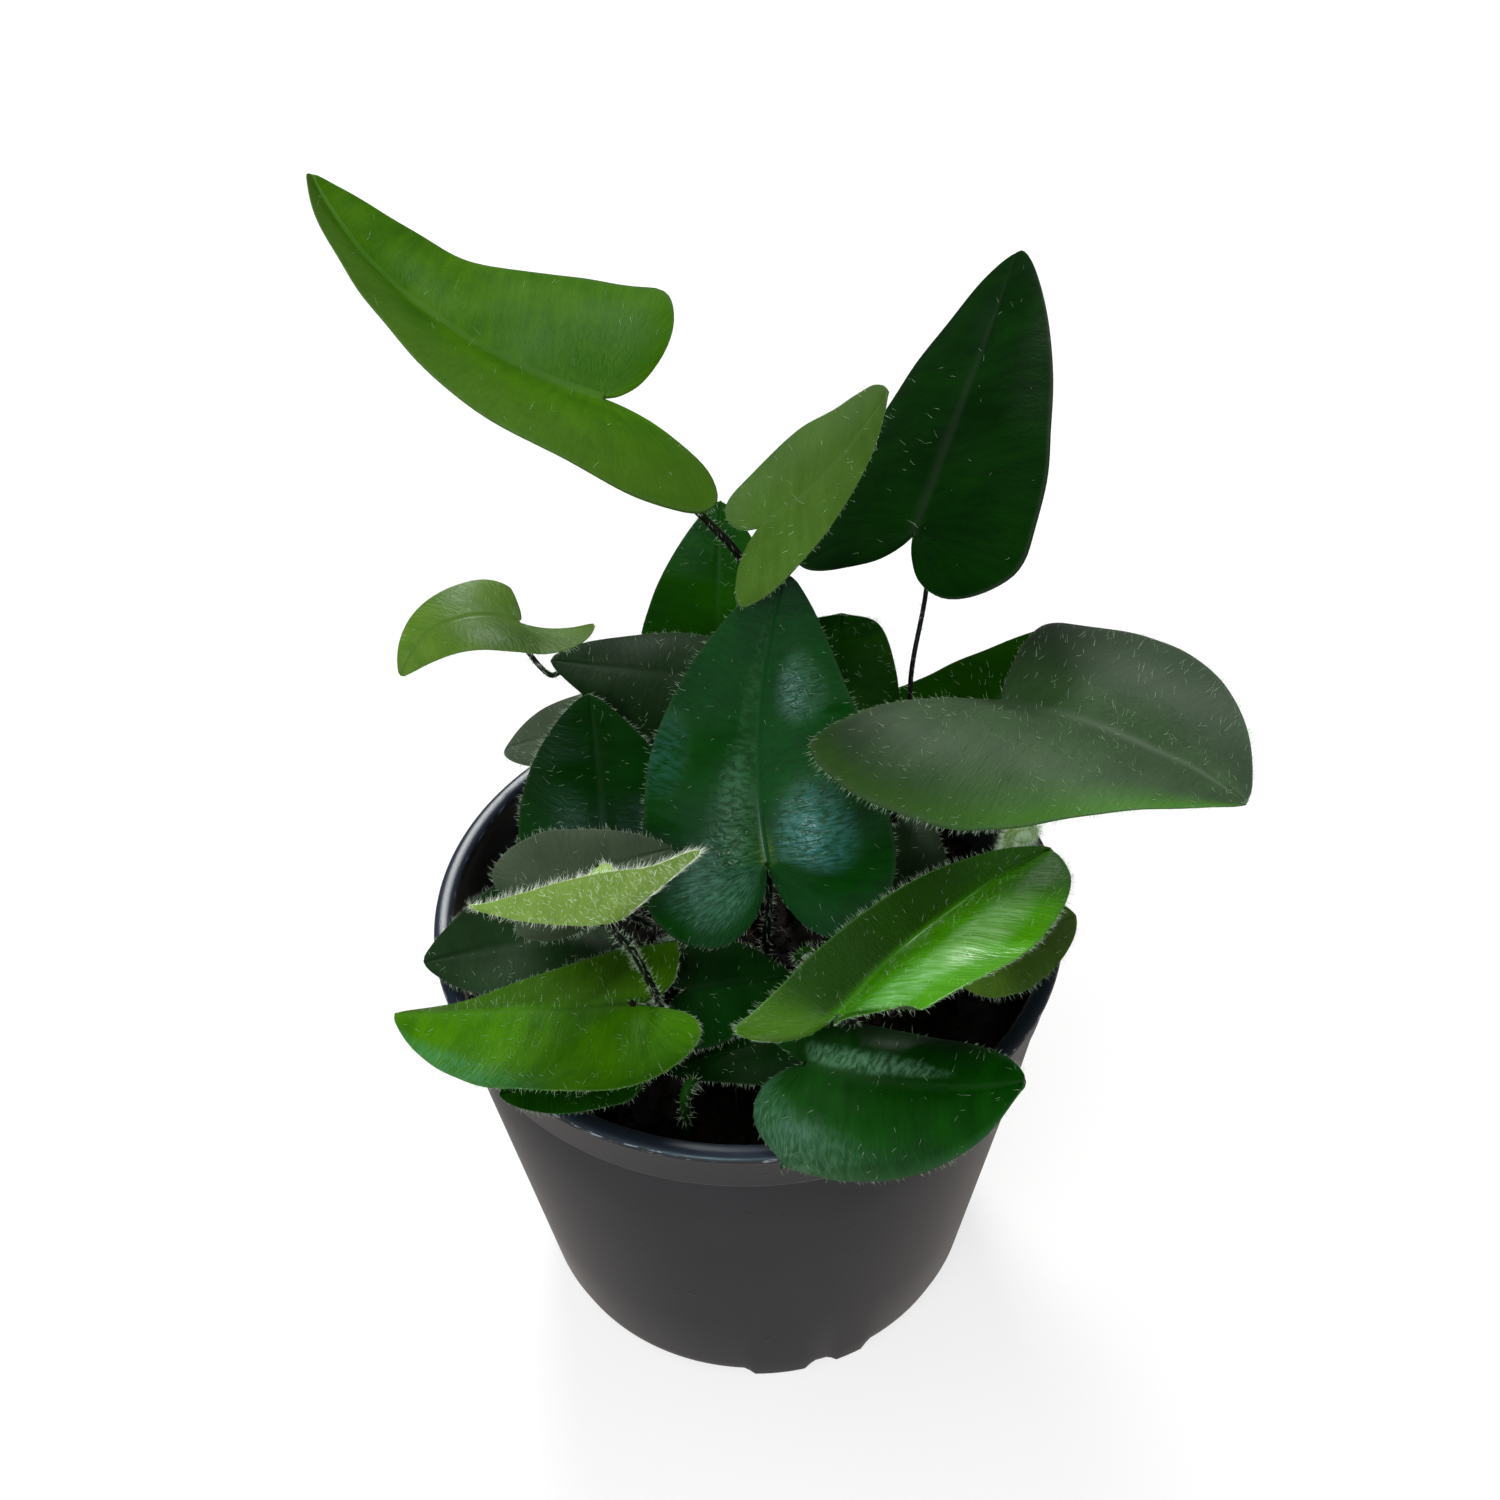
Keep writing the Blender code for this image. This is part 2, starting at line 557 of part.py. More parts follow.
def build():
    clear_scene()
    green = material("blade_green", (0.02, 0.12, 0.012), 0.42, 0.15)
    black = material("stipe_black", (0.012, 0.009, 0.008), 0.5)
    young = material("crozier_green", (0.16, 0.24, 0.06), 0.6)
    charcoal = material("pot_charcoal", (0.035, 0.036, 0.04), 0.4)
    brown = material("soil_brown", (0.02, 0.013, 0.009), 0.95)
    stems = []
    for leaf in FRONDS:
        large = leaf["length"] > 45
        blade = blade_solid("blade_" + leaf["name"], leaf, 20 if large else 15, 3 if large else 2, green)
        add_stipe("stipe_" + leaf["name"], leaf, blade, black)
        stems.append((leaf["root"][0], leaf["root"][1], leaf["stem"] * 1.25))
    for name, x, y, height, coil, turn, lean, radius in CROZIERS:
        path = crozier_path(x, y, height, coil, turn, lean)
        count = len(path) - 1
        radii = [radius * (1.0 - 0.4 * max(0.0, k / count - 0.3)) for k in range(count + 1)]
        tube(name, path, radii, STIPE_SIDES, young)
        stems.append((x, y, radius))
    make_soil(brown, stems)
    make_pot(charcoal)


build()
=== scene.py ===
# %% [markdown]
# # A heart fern in a grower's pot
# A heart fern lifts each leathery, heart-shaped blade on its own wiry black stipe, and fine
# pale hairs stand on all of it. The plain solids of the part give every size and place. This
# lesson dresses them: finer blades, hairs, veins, a moulded pot and crumbly soil.

# %% Load the solids
import math
from types import SimpleNamespace

import bpy
import numpy as np
from mathutils import Matrix, Vector


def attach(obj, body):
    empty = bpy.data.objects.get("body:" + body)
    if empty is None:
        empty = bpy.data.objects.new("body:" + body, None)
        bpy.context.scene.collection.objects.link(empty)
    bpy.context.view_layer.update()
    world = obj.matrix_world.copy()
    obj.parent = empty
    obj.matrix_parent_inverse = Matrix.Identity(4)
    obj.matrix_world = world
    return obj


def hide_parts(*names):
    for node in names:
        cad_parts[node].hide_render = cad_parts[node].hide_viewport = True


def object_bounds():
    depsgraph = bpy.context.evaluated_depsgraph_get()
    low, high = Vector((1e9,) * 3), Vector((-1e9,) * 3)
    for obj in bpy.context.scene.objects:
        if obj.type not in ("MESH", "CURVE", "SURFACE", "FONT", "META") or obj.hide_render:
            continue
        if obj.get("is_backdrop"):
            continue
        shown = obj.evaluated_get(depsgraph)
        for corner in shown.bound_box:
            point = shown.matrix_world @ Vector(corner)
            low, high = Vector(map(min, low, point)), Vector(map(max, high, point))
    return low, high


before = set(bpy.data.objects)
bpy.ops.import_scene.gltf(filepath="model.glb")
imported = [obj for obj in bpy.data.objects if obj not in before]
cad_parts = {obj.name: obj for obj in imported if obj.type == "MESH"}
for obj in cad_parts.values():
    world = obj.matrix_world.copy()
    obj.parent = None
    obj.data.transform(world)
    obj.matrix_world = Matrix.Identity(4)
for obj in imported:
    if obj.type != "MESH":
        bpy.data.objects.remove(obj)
cad_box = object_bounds()
print("solids loaded:", len(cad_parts))

# %% [markdown]
# ## Camera
# The picture looks down on the plant at about 43 degrees. A camera can be set by hand in the
# viewport, but an aim point, a distance and an elevation are easy to read off the pot's rim,
# which is a circle that shows as an ellipse, and they give the same view each time.

# %% Place the camera
def stand(name, data):
    """Object that holds the data, put into the scene."""
    holder = bpy.data.objects.new(name, data)
    bpy.context.scene.collection.objects.link(holder)
    return holder


def place_camera(aim, distance, elevation, tilt, lens):
    """Camera in front of the plant that looks at the aim point, turned a little about its axis."""
    rise = math.radians(elevation)
    back = Vector((0.0, -math.cos(rise), math.sin(rise)))
    across = Vector((1.0, 0.0, 0.0))
    upward = back.cross(across)
    turn = math.radians(tilt)
    right = across * math.cos(turn) + upward * math.sin(turn)
    top = upward * math.cos(turn) - across * math.sin(turn)
    lens_data = bpy.data.cameras.new("camera")
    lens_data.lens = lens
    lens_data.sensor_width = 36.0
    lens_data.clip_start = 0.01
    holder = stand("camera", lens_data)
    view = Matrix((right, top, back)).transposed().to_4x4()
    view.translation = aim + back * distance
    holder.matrix_world = view
    bpy.context.scene.camera = holder
    return holder


camera = place_camera(aim=Vector((0.0011, 0.0, 0.1342)), distance=0.420, elevation=42.85,
                      tilt=-1.5, lens=56.23)
print("camera stands at", [round(c, 3) for c in camera.matrix_world.translation])

# %% [markdown]
# ## Light
# The leaves are dark and glossy, so what they mirror matters more than what falls on them. One
# big lamp would do for a matt plant, but here its reflection would grey the greens. So three
# wide lamps only fill the shade, unseen in reflections, and three others only draw highlights:
# one high behind, a cool one low in front and a weak one at the side. A dim sky keeps the greens
# deep.

# %% Hang the lamps
def lamp(name, spot, aim_height, size, power, colour):
    """Square lamp that faces the plant's axis; its name says if it fills the shade or shines."""
    data = bpy.data.lights.new(name, "AREA")
    data.shape = "SQUARE"
    data.size = size
    data.energy = power
    data.color = colour
    holder = stand(name, data)
    holder.location = spot
    facing = Vector((0.0, 0.0, aim_height)) - Vector(spot)
    holder.rotation_euler = facing.to_track_quat("-Z", "Y").to_euler()
    holder.visible_glossy = name.startswith("shine")
    holder.visible_diffuse = name.startswith("fill")


lamp("fill_behind", (-0.25, 1.40, 1.55), 0.10, 0.55, 30.0, (1.0, 0.99, 0.97))
lamp("fill_top", (-0.3, -0.3, 2.2), 0.12, 1.4, 24.0, (1.0, 1.0, 1.0))
lamp("fill_front", (-0.9, -1.6, 1.2), 0.12, 0.8, 13.0, (1.0, 1.0, 1.0))
lamp("shine_behind", (-0.15, 1.55, 1.45), 0.10, 0.50, 40.0, (0.97, 1.0, 0.98))
lamp("shine_front", (-0.43, -1.72, 0.32), 0.12, 0.24, 16.0, (0.60, 0.92, 1.0))
lamp("shine_low", (0.40, -1.60, 0.62), 0.12, 0.25, 3.0, (0.90, 1.0, 0.95))

sky = bpy.data.worlds.new("sky")
sky.use_nodes = True
sky_light = sky.node_tree.nodes["Background"].inputs
sky_light["Color"].default_value = (0.95, 0.98, 1.0, 1.0)
sky_light["Strength"].default_value = 0.10
bpy.context.scene.world = sky
bpy.context.scene.view_settings.view_transform = "Standard"

# %% [markdown]
# ## Writing finishes as sums
# A finish is a net of nodes. It can be wired by hand in the shader editor, but it is easier to
# read and to change as a sum. A small class holds one output of a node, and Python's operators
# add the Math nodes.

# %% Values that add up
class Value:
    """One output of a node that Python's sums work on."""

    def __init__(self, finish, socket):
        self.finish = finish
        self.socket = socket

    def sum(self, operation, first, second):
        return self.finish.node("ShaderNodeMath", {"operation": operation}, {0: first, 1: second})

    def __add__(self, other):
        return self.sum("ADD", self, other)

    def __sub__(self, other):
        return self.sum("SUBTRACT", self, other)

    def __rsub__(self, other):
        return self.sum("SUBTRACT", other, self)

    def __mul__(self, other):
        return self.sum("MULTIPLY", self, other)

    __radd__ = __add__
    __rmul__ = __mul__

    def between(self, low, high):
        """0 below low, 1 above high, with a soft step from one to the other."""
        return self.finish.node("ShaderNodeMapRange", {"interpolation_type": "SMOOTHSTEP"},
                                {"Value": self, "From Min": low, "From Max": high})


print("a value takes +, - and *, from both sides")

# %% [markdown]
# ## One method for every node
# A material is called a finish here. One method makes any kind of node from its type, settings
# and sockets. The short methods after it give the kinds that come back often a plain name.

# %% Finishes
class Finish:
    """A material whose nodes are written as expressions."""

    def __init__(self, name):
        self.material = bpy.data.materials.new(name)
        self.material.use_nodes = True
        self.tree = self.material.node_tree
        self.shader = self.tree.nodes["Principled BSDF"]

    def feed(self, socket, value):
        if isinstance(value, Value):
            self.tree.links.new(value.socket, socket)
        elif socket.type == "RGBA":
            socket.default_value = (*value, 1.0)
        else:
            socket.default_value = value

    def node(self, kind, settings, sockets, output=0):
        made = self.tree.nodes.new(kind)
        for key, value in settings.items():
            setattr(made, key, value)
        for key, value in sockets.items():
            self.feed(made.inputs[key], value)
        return Value(self, made.outputs[output])

    def spot(self):
        """Place on the object, in metres."""
        return self.node("ShaderNodeTexCoord", {}, {}, "Object")

    def place(self, x, y, z):
        return self.node("ShaderNodeCombineXYZ", {}, {"X": x, "Y": y, "Z": z})

    def split(self, place):
        """The three numbers of a place."""
        parts = self.node("ShaderNodeSeparateXYZ", {}, {"Vector": place}).socket.node
        return [Value(self, socket) for socket in parts.outputs]

    def chart(self, name):
        """Both numbers of one of the piece's own maps."""
        return self.split(self.node("ShaderNodeUVMap", {"uv_map": name}, {}))[:2]

    def noise(self, place, scale, detail=3.0, roughness=0.55, swirl=0.0):
        return self.node("ShaderNodeTexNoise", {}, {
            "Vector": place, "Scale": scale, "Detail": detail, "Roughness": roughness,
            "Distortion": swirl})

    def blend(self, share, first, second):
        """Colour that goes from first to second as share goes from 0 to 1."""
        settings = {"data_type": "RGBA"}
        return self.node("ShaderNodeMix", settings, {0: share, 6: first, 7: second}, 2)

    def shade(self, **sockets):
        """Feed the shader's own sockets; an underscore stands for a space."""
        for key, value in sockets.items():
            self.feed(self.shader.inputs[key.replace("_", " ")], value)

    def relief(self, height, depth, strength):
        """Small bumps from a height value; depth in metres."""
        bump = self.node("ShaderNodeBump", {},
                         {"Height": height, "Distance": depth, "Strength": strength})
        self.feed(self.shader.inputs["Normal"], bump)


print("finishes are written with", Finish.__name__, "and", Value.__name__)

# %% [markdown]
# ## The leaf finish
# A blade is leathery with a soft gloss. Its veins fan out from the notch and the midrib to the
# margin, and in light they show as fine stripes. A painted picture could show this, but it blurs
# up close. Here noise is stretched over the blade's own maps, which run along the margin and from
# midrib to margin, so it falls along the veins by itself. The paler midrib, the thin pale margin
# and the tints of one half are masks on the same map, and so are ovals of painted highlight and
# painted shade, grained by the wrinkles, and painted shade in the furrows. A few blades get a
# painted glow for the light that shines through them. The bump also holds some form, the low
# blisters of a big blade and a margin that rolls down.

# %% Make a leaf finish
DULL = 0.45
MARGIN_SHARE = 0.3
# FURROW_SHADE is how dark the painted shade in the furrows is, as a share of the deep green.
FURROW_SHADE = 0.3


def leaf_finish(name, light, deep, gloss, specular, relief, rib=0.15, sheen=0.0, tints=(),
                rolls=(), blister=0.0, shines=(), streaks=(), furrow=0.15, glow=0.0):
    """Green blade: light and deep are its two greens, gloss the roughness of its smooth spots."""
    f = Finish(name)
    spot = f.spot()
    along, across = f.chart("share")
    margin_mm, reach_mm = f.chart("size")

    def oval(at_along, at_across, long, wide):
        """1 in the middle of an oval on the blade, 0 outside it."""
        down, out = (along - at_along) * (1 / long), (across - at_across) * (1 / wide)
        return 1.0 - (down * down + out * out).between(0.0, 1.0)

    outer = f.noise(f.place(margin_mm * 1.5, reach_mm * 0.45, 0.0), 1.0, swirl=0.6)
    inner = f.noise(f.place(margin_mm * 1.0, reach_mm * 0.50, 5.0), 1.0, swirl=0.6)
    near_margin = across.between(0.35, 0.8)
    wrinkles = inner * (1.0 - near_margin) + outer * near_margin
    bands = f.noise(f.place(margin_mm * 0.35, reach_mm * 0.07, 3.0), 1.0, 2.0)
    patches = f.noise(spot, 75.0)
    darker = (patches * 0.8 + bands * 0.5 + wrinkles * 0.2).between(0.5, 1.0)
    green = f.blend(darker, light, deep)

    left = along.between(0.49, 0.51)
    right = 1.0 - left
    parts = {"both": 1.0, "left": left, "left tip": left * (1.0 - along.between(0.53, 0.68)),
             "left base": left * along.between(0.78, 0.87),
             "right": right, "right tip": right * along.between(0.15, 0.5)}
    # On several blades a tint is painted light: a darker half in shade, a greyish sheen, a brighter
    # tip.
    for part, start, end, amount, colour in tints:
        green = f.blend(across.between(start, end) * parts[part] * amount, green, colour)
    pale = [0.7 * c + 0.05 for c in light]
    green = f.blend((1.0 - across.between(0.0, 0.08)) * rib, green, pale)
    green = f.blend(across.between(0.955, 0.99) * MARGIN_SHARE, green, pale)
    # Painted highlights and painted shade: ovals of colour, grained by the wrinkles.
    for place, amount, colour in streaks:
        brushed = wrinkles.between(0.36, 0.66) * 0.8 + 0.2
        green = f.blend(oval(*place) * brushed * amount, green, colour)
    # Painted shade: the furrows between the wrinkles are painted darker.
    grooves = (1.0 - wrinkles.between(0.34, 0.60)) * furrow
    green = f.blend(grooves, green, [c * FURROW_SHADE for c in deep])

    rough = wrinkles * 0.08 + patches * 0.06 + gloss + (DULL if shines else 0.0)
    for place in shines:
        rough = rough - oval(*place) * DULL
    f.shade(Base_Color=green, Roughness=rough, Specular_IOR_Level=specular, Sheen_Weight=sheen,
            Sheen_Roughness=0.4)
    # Painted glow: the green itself glows a little, for the light that shines through the blade.
    if glow:
        f.shade(Emission_Color=green, Emission_Strength=glow)

    height = (wrinkles + bands * 0.6) * across.between(0.0, 0.18) * (0.22 * relief)
    if blister:
        height = height + f.noise(spot, 60.0, 0.0) * blister
    for part, start, end, slope in rolls:
        height = height - across.between(start, end) * parts[part] * reach_mm * slope
    f.relief(height, 0.001, 1.0)
    return f.material


print("a dull blade is rougher than its smooth spots by", DULL)

# %% [markdown]
# ## The greens
# A blade in light is yellowish, one in shade almost black, an old one greyish. One finish with
# random shifts could vary them, but each tone here is a line of numbers, so a certain leaf can be
# matched. Tints cover a part of the blade from start to end, where the midrib is 0 and the margin
# 1; on several blades tints are painted light: darker halves in shade, greyish painted sheen and
# brighter tips. Shines are smooth ovals, and streaks holds painted ones, painted
# highlights and painted shade: their place along and across, then their length and width. Along
# the margin, 0 and 1 are the notch and 0.5 is the tip.

# %% List the greens
# Light green, deep green, roughness, specular, relief, pale midrib and sheen.
GREENS = {
    "fresh": ((0.050, 0.150, 0.0002), (0.025, 0.100, 0.0002), 0.42, 0.02, 0.3),
    "light": ((0.14, 0.28, 0.030), (0.085, 0.20, 0.016), 0.38, 0.2, 0.8),
    "mid": ((0.068, 0.155, 0.018), (0.047, 0.115, 0.010), 0.42, 0.08, 0.4),
    "forest": ((0.018, 0.135, 0.001), (0.007, 0.080, 0.001), 0.40, 0.10, 1.0),
    "night": ((0.0020, 0.026, 0.0006), (0.0007, 0.013, 0.0005), 0.40, 0.03, 0.4),
    "deep": ((0.004, 0.058, 0.004), (0.002, 0.036, 0.001), 0.36, 0.12, 1.0),
    "shade": ((0.008, 0.045, 0.0005), (0.003, 0.026, 0.0005), 0.65, 0.0, 0.6),
    "dusk": ((0.020, 0.052, 0.015), (0.011, 0.031, 0.009), 0.50, 0.10, 0.7, 0.1, 0.06),
    "slate": ((0.011, 0.038, 0.009), (0.006, 0.022, 0.005), 0.50, 0.08, 0.6, 0.1, 0.04),
    "ash": ((0.052, 0.080, 0.042), (0.036, 0.058, 0.030), 0.55, 0.15, 1.0, 0.1, 0.1),
    "grey": ((0.030, 0.072, 0.021), (0.019, 0.050, 0.014), 0.50, 0.12, 0.8, 0.3, 0.08),
    "glossy": ((0.001, 0.086, 0.001), (0.0004, 0.050, 0.001), 0.22, 0.28, 1.5, 0.0),
    "jade": ((0.004, 0.080, 0.0002), (0.001, 0.038, 0.0002), 0.38, 0.22, 0.8, 0.1),
    "vivid": ((0.064, 0.30, 0.0001), (0.036, 0.19, 0.0001), 0.20, 0.5, 1.3, 0.0),
    "bright": ((0.058, 0.20, 0.0002), (0.026, 0.115, 0.0002), 0.28, 0.10, 0.8, 0.1),
    "woolly": ((0.40, 0.62, 0.13), (0.28, 0.48, 0.08), 0.6, 0.15, 1.0, 0.1),
    "underside": ((0.045, 0.10, 0.014), (0.026, 0.065, 0.008), 0.6, 0.15, 0.8),
}
DETAILS = {
    # fresh: the greyish left half is a painted sheen, the first oval is painted shade by the notch,
    # and the glow is painted light through the blade.
    "fresh": dict(
        glow=0.06, tints=[("left", 0.2, 0.9, 0.5, (0.070, 0.15, 0.018))],
        streaks=[((0.15, 0.20, 0.16, 0.80), 1.0, (0.018, 0.085, 0.0002)),
                 ((0.96, 0.40, 0.06, 0.50), 0.7, (0.045, 0.17, 0.001))]),
    "mid": dict(tints=[("left", 0.1, 0.8, 0.5, (0.085, 0.17, 0.045))]),
    # grey: the darker, greyish left half is painted shade with a painted sheen.
    "grey": dict(
        tints=[("left", 0.1, 0.6, 0.6, (0.022, 0.042, 0.021)),
               ("right", 0.8, 1.0, 0.4, (0.050, 0.14, 0.010)),
               ("right tip", 0.5, 1.0, 0.9, (0.040, 0.17, 0.002))]),
    # glossy: the ovals are painted highlights, pale along the midrib ridge and teal on the lobes,
    # and its furrows get painted shade.
    "glossy": dict(
        blister=0.8, furrow=0.30,
        shines=[(0.240, 0.42, 0.08, 0.45), (0.686, 0.90, 0.05, 0.35), (0.385, 0.50, 0.045, 0.40),
                (0.84, 0.45, 0.10, 0.50), (0.755, 0.20, 0.08, 0.35)],
        streaks=[((0.79, 0.0, 0.06, 0.10), 0.9, (0.10, 0.20, 0.01)),
                 ((0.22, 0.0, 0.06, 0.10), 0.9, (0.10, 0.20, 0.01)),
                 ((0.66, 0.10, 0.20, 0.14), 0.4, (0.05, 0.19, 0.06)),
                 ((0.236, 0.42, 0.07, 0.38), 0.8, (0.06, 0.26, 0.24)),
                 ((0.686, 0.90, 0.045, 0.30), 0.4, (0.04, 0.17, 0.17)),
                 ((0.385, 0.50, 0.040, 0.35), 0.4, (0.04, 0.19, 0.11)),
                 ((0.84, 0.42, 0.10, 0.50), 0.8, (0.07, 0.24, 0.15)),
                 ((0.73, 0.20, 0.08, 0.20), 0.6, (0.08, 0.25, 0.12))]),
    # jade: the paler margin is partly the hairs' colour and partly a painted sheen; the ovals are a
    # painted highlight above the midrib and a painted sheen on the rim.
    "jade": dict(
        blister=0.8, tints=[("both", 0.8, 1.0, 0.5, (0.025, 0.13, 0.03))],
        streaks=[((0.75, 0.15, 0.12, 0.16), 0.9, (0.15, 0.38, 0.20)),
                 ((0.68, 0.20, 0.08, 0.16), 0.7, (0.15, 0.38, 0.20)),
                 ((0.15, 0.75, 0.16, 0.50), 1.0, (0.06, 0.18, 0.09))]),
    # vivid: the left half is painted darker as shade, the tips are painted brighter, the ovals are
    # a painted highlight band, and the glow is painted light through the blade.
    "vivid": dict(
        glow=0.06, blister=0.5, rolls=[("right", 0.35, 1.0, 0.36)],
        tints=[("left", 0.0, 0.25, 0.92, (0.008, 0.036, 0.001)),
               ("left base", 0.0, 0.2, 0.7, (0.070, 0.21, 0.001)),
               ("left tip", 0.0, 0.25, 0.75, (0.055, 0.27, 0.0005)),
               ("right tip", 0.0, 0.3, 0.9, (0.13, 0.58, 0.002))],
        streaks=[((0.44, 0.66, 0.08, 0.30), 1.0, (0.50, 0.85, 0.42)),
                 ((0.31, 0.66, 0.10, 0.22), 0.8, (0.36, 0.68, 0.26)),
                 ((0.20, 0.60, 0.08, 0.24), 0.6, (0.25, 0.55, 0.22))]),
    # bright: the right half is painted darker as a painted shadow, the oval is a painted sheen on
    # the margin, and the glow is painted light through the blade.
    "bright": dict(
        glow=0.06, tints=[("right", 0.0, 0.5, 0.6, (0.028, 0.075, 0.0005))],
        streaks=[((0.62, 1.0, 0.14, 0.40), 0.9, (0.04, 0.20, 0.07))]),
}
TONES = {tone: leaf_finish("leaf_" + tone, *numbers, **DETAILS.get(tone, {}))
         for tone, numbers in GREENS.items()}
print("leaf finishes:", ", ".join(TONES))

# %% [markdown]
# ## Other finishes
# Hairs are silvery and soft. A stipe is almost black, hard and glossy like wire. The pot is
# charcoal plastic with a moulded satin skin, a smoother lip painted bluish, a painted reflection
# of the sky, a scuffed edge, and a pale line where its collar starts, which is a painted highlight
# on the step. The soil is dark, damp bark and peat, painted darker still as painted shade deep in
# the pot. Thin things need no more than one noise, but the pot is seen from close by, so its bands
# are masks on its height: a turned object wears in rings.

# %% Make the other finishes
def hair_finish(name, colour, roughness, glow):
    """Hair; the glow stands for the light that a thin hair lets through."""
    f = Finish(name)
    shade = f.noise(f.spot(), 400.0, 1.0)
    f.shade(Base_Color=f.blend(shade, colour, [c * 0.7 for c in colour]), Roughness=roughness,
            Specular_IOR_Level=0.4, Emission_Color=colour, Emission_Strength=glow)
    return f.material


def stipe_finish():
    f = Finish("stipe_black")
    grain = f.noise(f.spot(), 900.0)
    brown = f.blend(grain.between(0.5, 0.8), (0.004, 0.003, 0.003), (0.022, 0.012, 0.008))
    f.shade(Base_Color=brown, Roughness=0.28 + grain * 0.2, Specular_IOR_Level=0.4)
    f.relief(grain, 0.0001, 0.5)
    return f.material


def pot_finish():
    """Charcoal plastic; the heights of its lip, edge and collar line are in metres."""
    f = Finish("pot_charcoal")
    spot = f.spot()
    height = f.split(spot)[2]
    cloud = f.noise(spot, 22.0, 4.0)
    skin = f.noise(spot, 2600.0, 2.0)
    specks = f.noise(spot, 260.0, 2.0).between(0.70, 0.76)
    scratch_place = f.node("ShaderNodeMapping", {}, {"Vector": spot, "Scale": (1.0, 1.0, 9.0)})
    scratches = f.noise(scratch_place, 330.0).between(0.54, 0.68)
    lip = height.between(0.0930, 0.0934)
    edge = height.between(0.0924, 0.0928) * (1.0 - height.between(0.0932, 0.0936))
    line = height.between(0.0832, 0.0835) * (1.0 - height.between(0.0836, 0.0839))
    # Scuffs along the edge, and a painted highlight on the collar's step, in one pale mask.
    wear = (edge * scratches * 1.6 + line * (0.10 + scratches * 0.3)).between(0.0, 1.0)
    body = f.blend(cloud.between(0.3, 0.7), (0.019, 0.021, 0.027), (0.028, 0.029, 0.035))
    body = f.blend(specks * 0.5, body, (0.012, 0.012, 0.015))
    # Painted reflection: the lip is painted bluish for the sky that it mirrors.
    body = f.blend(lip, body, (0.018, 0.026, 0.045))
    body = f.blend(wear, body, (0.36, 0.41, 0.48))
    f.shade(Base_Color=body, Roughness=0.36 + cloud * 0.12 + skin * 0.08 + wear * 0.2 - lip * 0.08,
            Specular_IOR_Level=0.45, Sheen_Weight=0.30, Sheen_Roughness=0.28,
            Sheen_Tint=(1.0, 0.93, 0.87))
    f.relief(skin * 0.6 + cloud * 0.5 + specks * 0.8, 0.00012, 0.35)
    return f.material


def soil_finish():
    f = Finish("soil_brown")
    coarse = f.noise(f.spot(), 260.0, 5.0, 0.65)
    fine = f.noise(f.spot(), 1300.0)
    # Near black: dark peat, painted darker still as painted shade deep in the pot.
    colour = f.blend(coarse.between(0.38, 0.68), (0.0012, 0.0012, 0.0008),
                     (0.009, 0.006, 0.004))
    f.shade(Base_Color=colour, Roughness=0.75 + fine * 0.2, Specular_IOR_Level=0.10)
    f.relief(coarse + fine * 0.5, 0.0009, 0.8)
    return f.material


hair_pale = hair_finish("hair_silver", (0.50, 0.66, 0.46), 0.45, 0.28)
hair_wool = hair_finish("hair_wool", (0.80, 0.88, 0.72), 0.6, 0.45)
root_tan = hair_finish("root_tan", (0.20, 0.13, 0.07), 0.6, 0.04)
stipe_black = stipe_finish()
pot_charcoal = pot_finish()
soil_brown = soil_finish()
print("materials so far:", len(bpy.data.materials))

# %% [markdown]
# ## Making a piece
# A piece could be modelled by hand or with modifiers, but a plant repeats itself, so each piece
# is one mesh made from arrays of points and faces in millimetres. Every piece rides on the
# plant's only body and hides the solids that it stands for.

# %% Turn arrays into a piece
BODY = "root"
MM = 0.001


def new_mesh(name, points, faces, finishes):
    mesh = bpy.data.meshes.new(name)
    mesh.from_pydata(points, [], faces)
    for finish in finishes:
        mesh.materials.append(finish)
    return mesh


def add_piece(name, points, faces, finishes, slot_name, stands_for=(), finish_of=None, charts=None):
    """Smooth piece; finish_of has one number for each face, charts one place for each corner."""
    mesh = new_mesh(name, (np.asarray(points) * MM).tolist(), faces, finishes)
    mesh.polygons.foreach_set("use_smooth", [True] * len(mesh.polygons))
    if finish_of is not None:
        mesh.polygons.foreach_set("material_index", finish_of)
    for title, chart in (charts or {}).items():
        layer = mesh.uv_layers.new(name=title)
        layer.data.foreach_set("uv", np.asarray(chart, dtype=np.float32).ravel())
    mesh.update()
    thing = stand(name, mesh)
    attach(thing, BODY)
    for node in stands_for:
        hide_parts(node)


print("pieces ride on the body", BODY)

# %% [markdown]
# ## The shape of one blade
# A heart fern's blade is a heart with a long point. Each could be drawn by hand, but 23 blades
# share one recipe and differ only in a few numbers. Half of the heart is a short row of points,
# and a rounded line runs through them.

# %% Outline of half a blade
HEART = [(1.0, 0.0), (0.965, 0.13), (0.83, 0.37), (0.60, 0.655), (0.34, 0.88), (0.08, 1.0),
         (-0.45, 0.955), (-0.86, 0.74), (-1.0, 0.47), (-0.80, 0.22), (-0.40, 0.06), (0.0, 0.0)]
ARROW = [(1.0, 0.0), (0.93, 0.10), (0.76, 0.32), (0.52, 0.56), (0.22, 0.76), (-0.3, 0.90),
         (-0.78, 1.0), (-1.0, 0.98), (-0.95, 0.82), (-0.5, 0.38), (0.0, 0.0)]


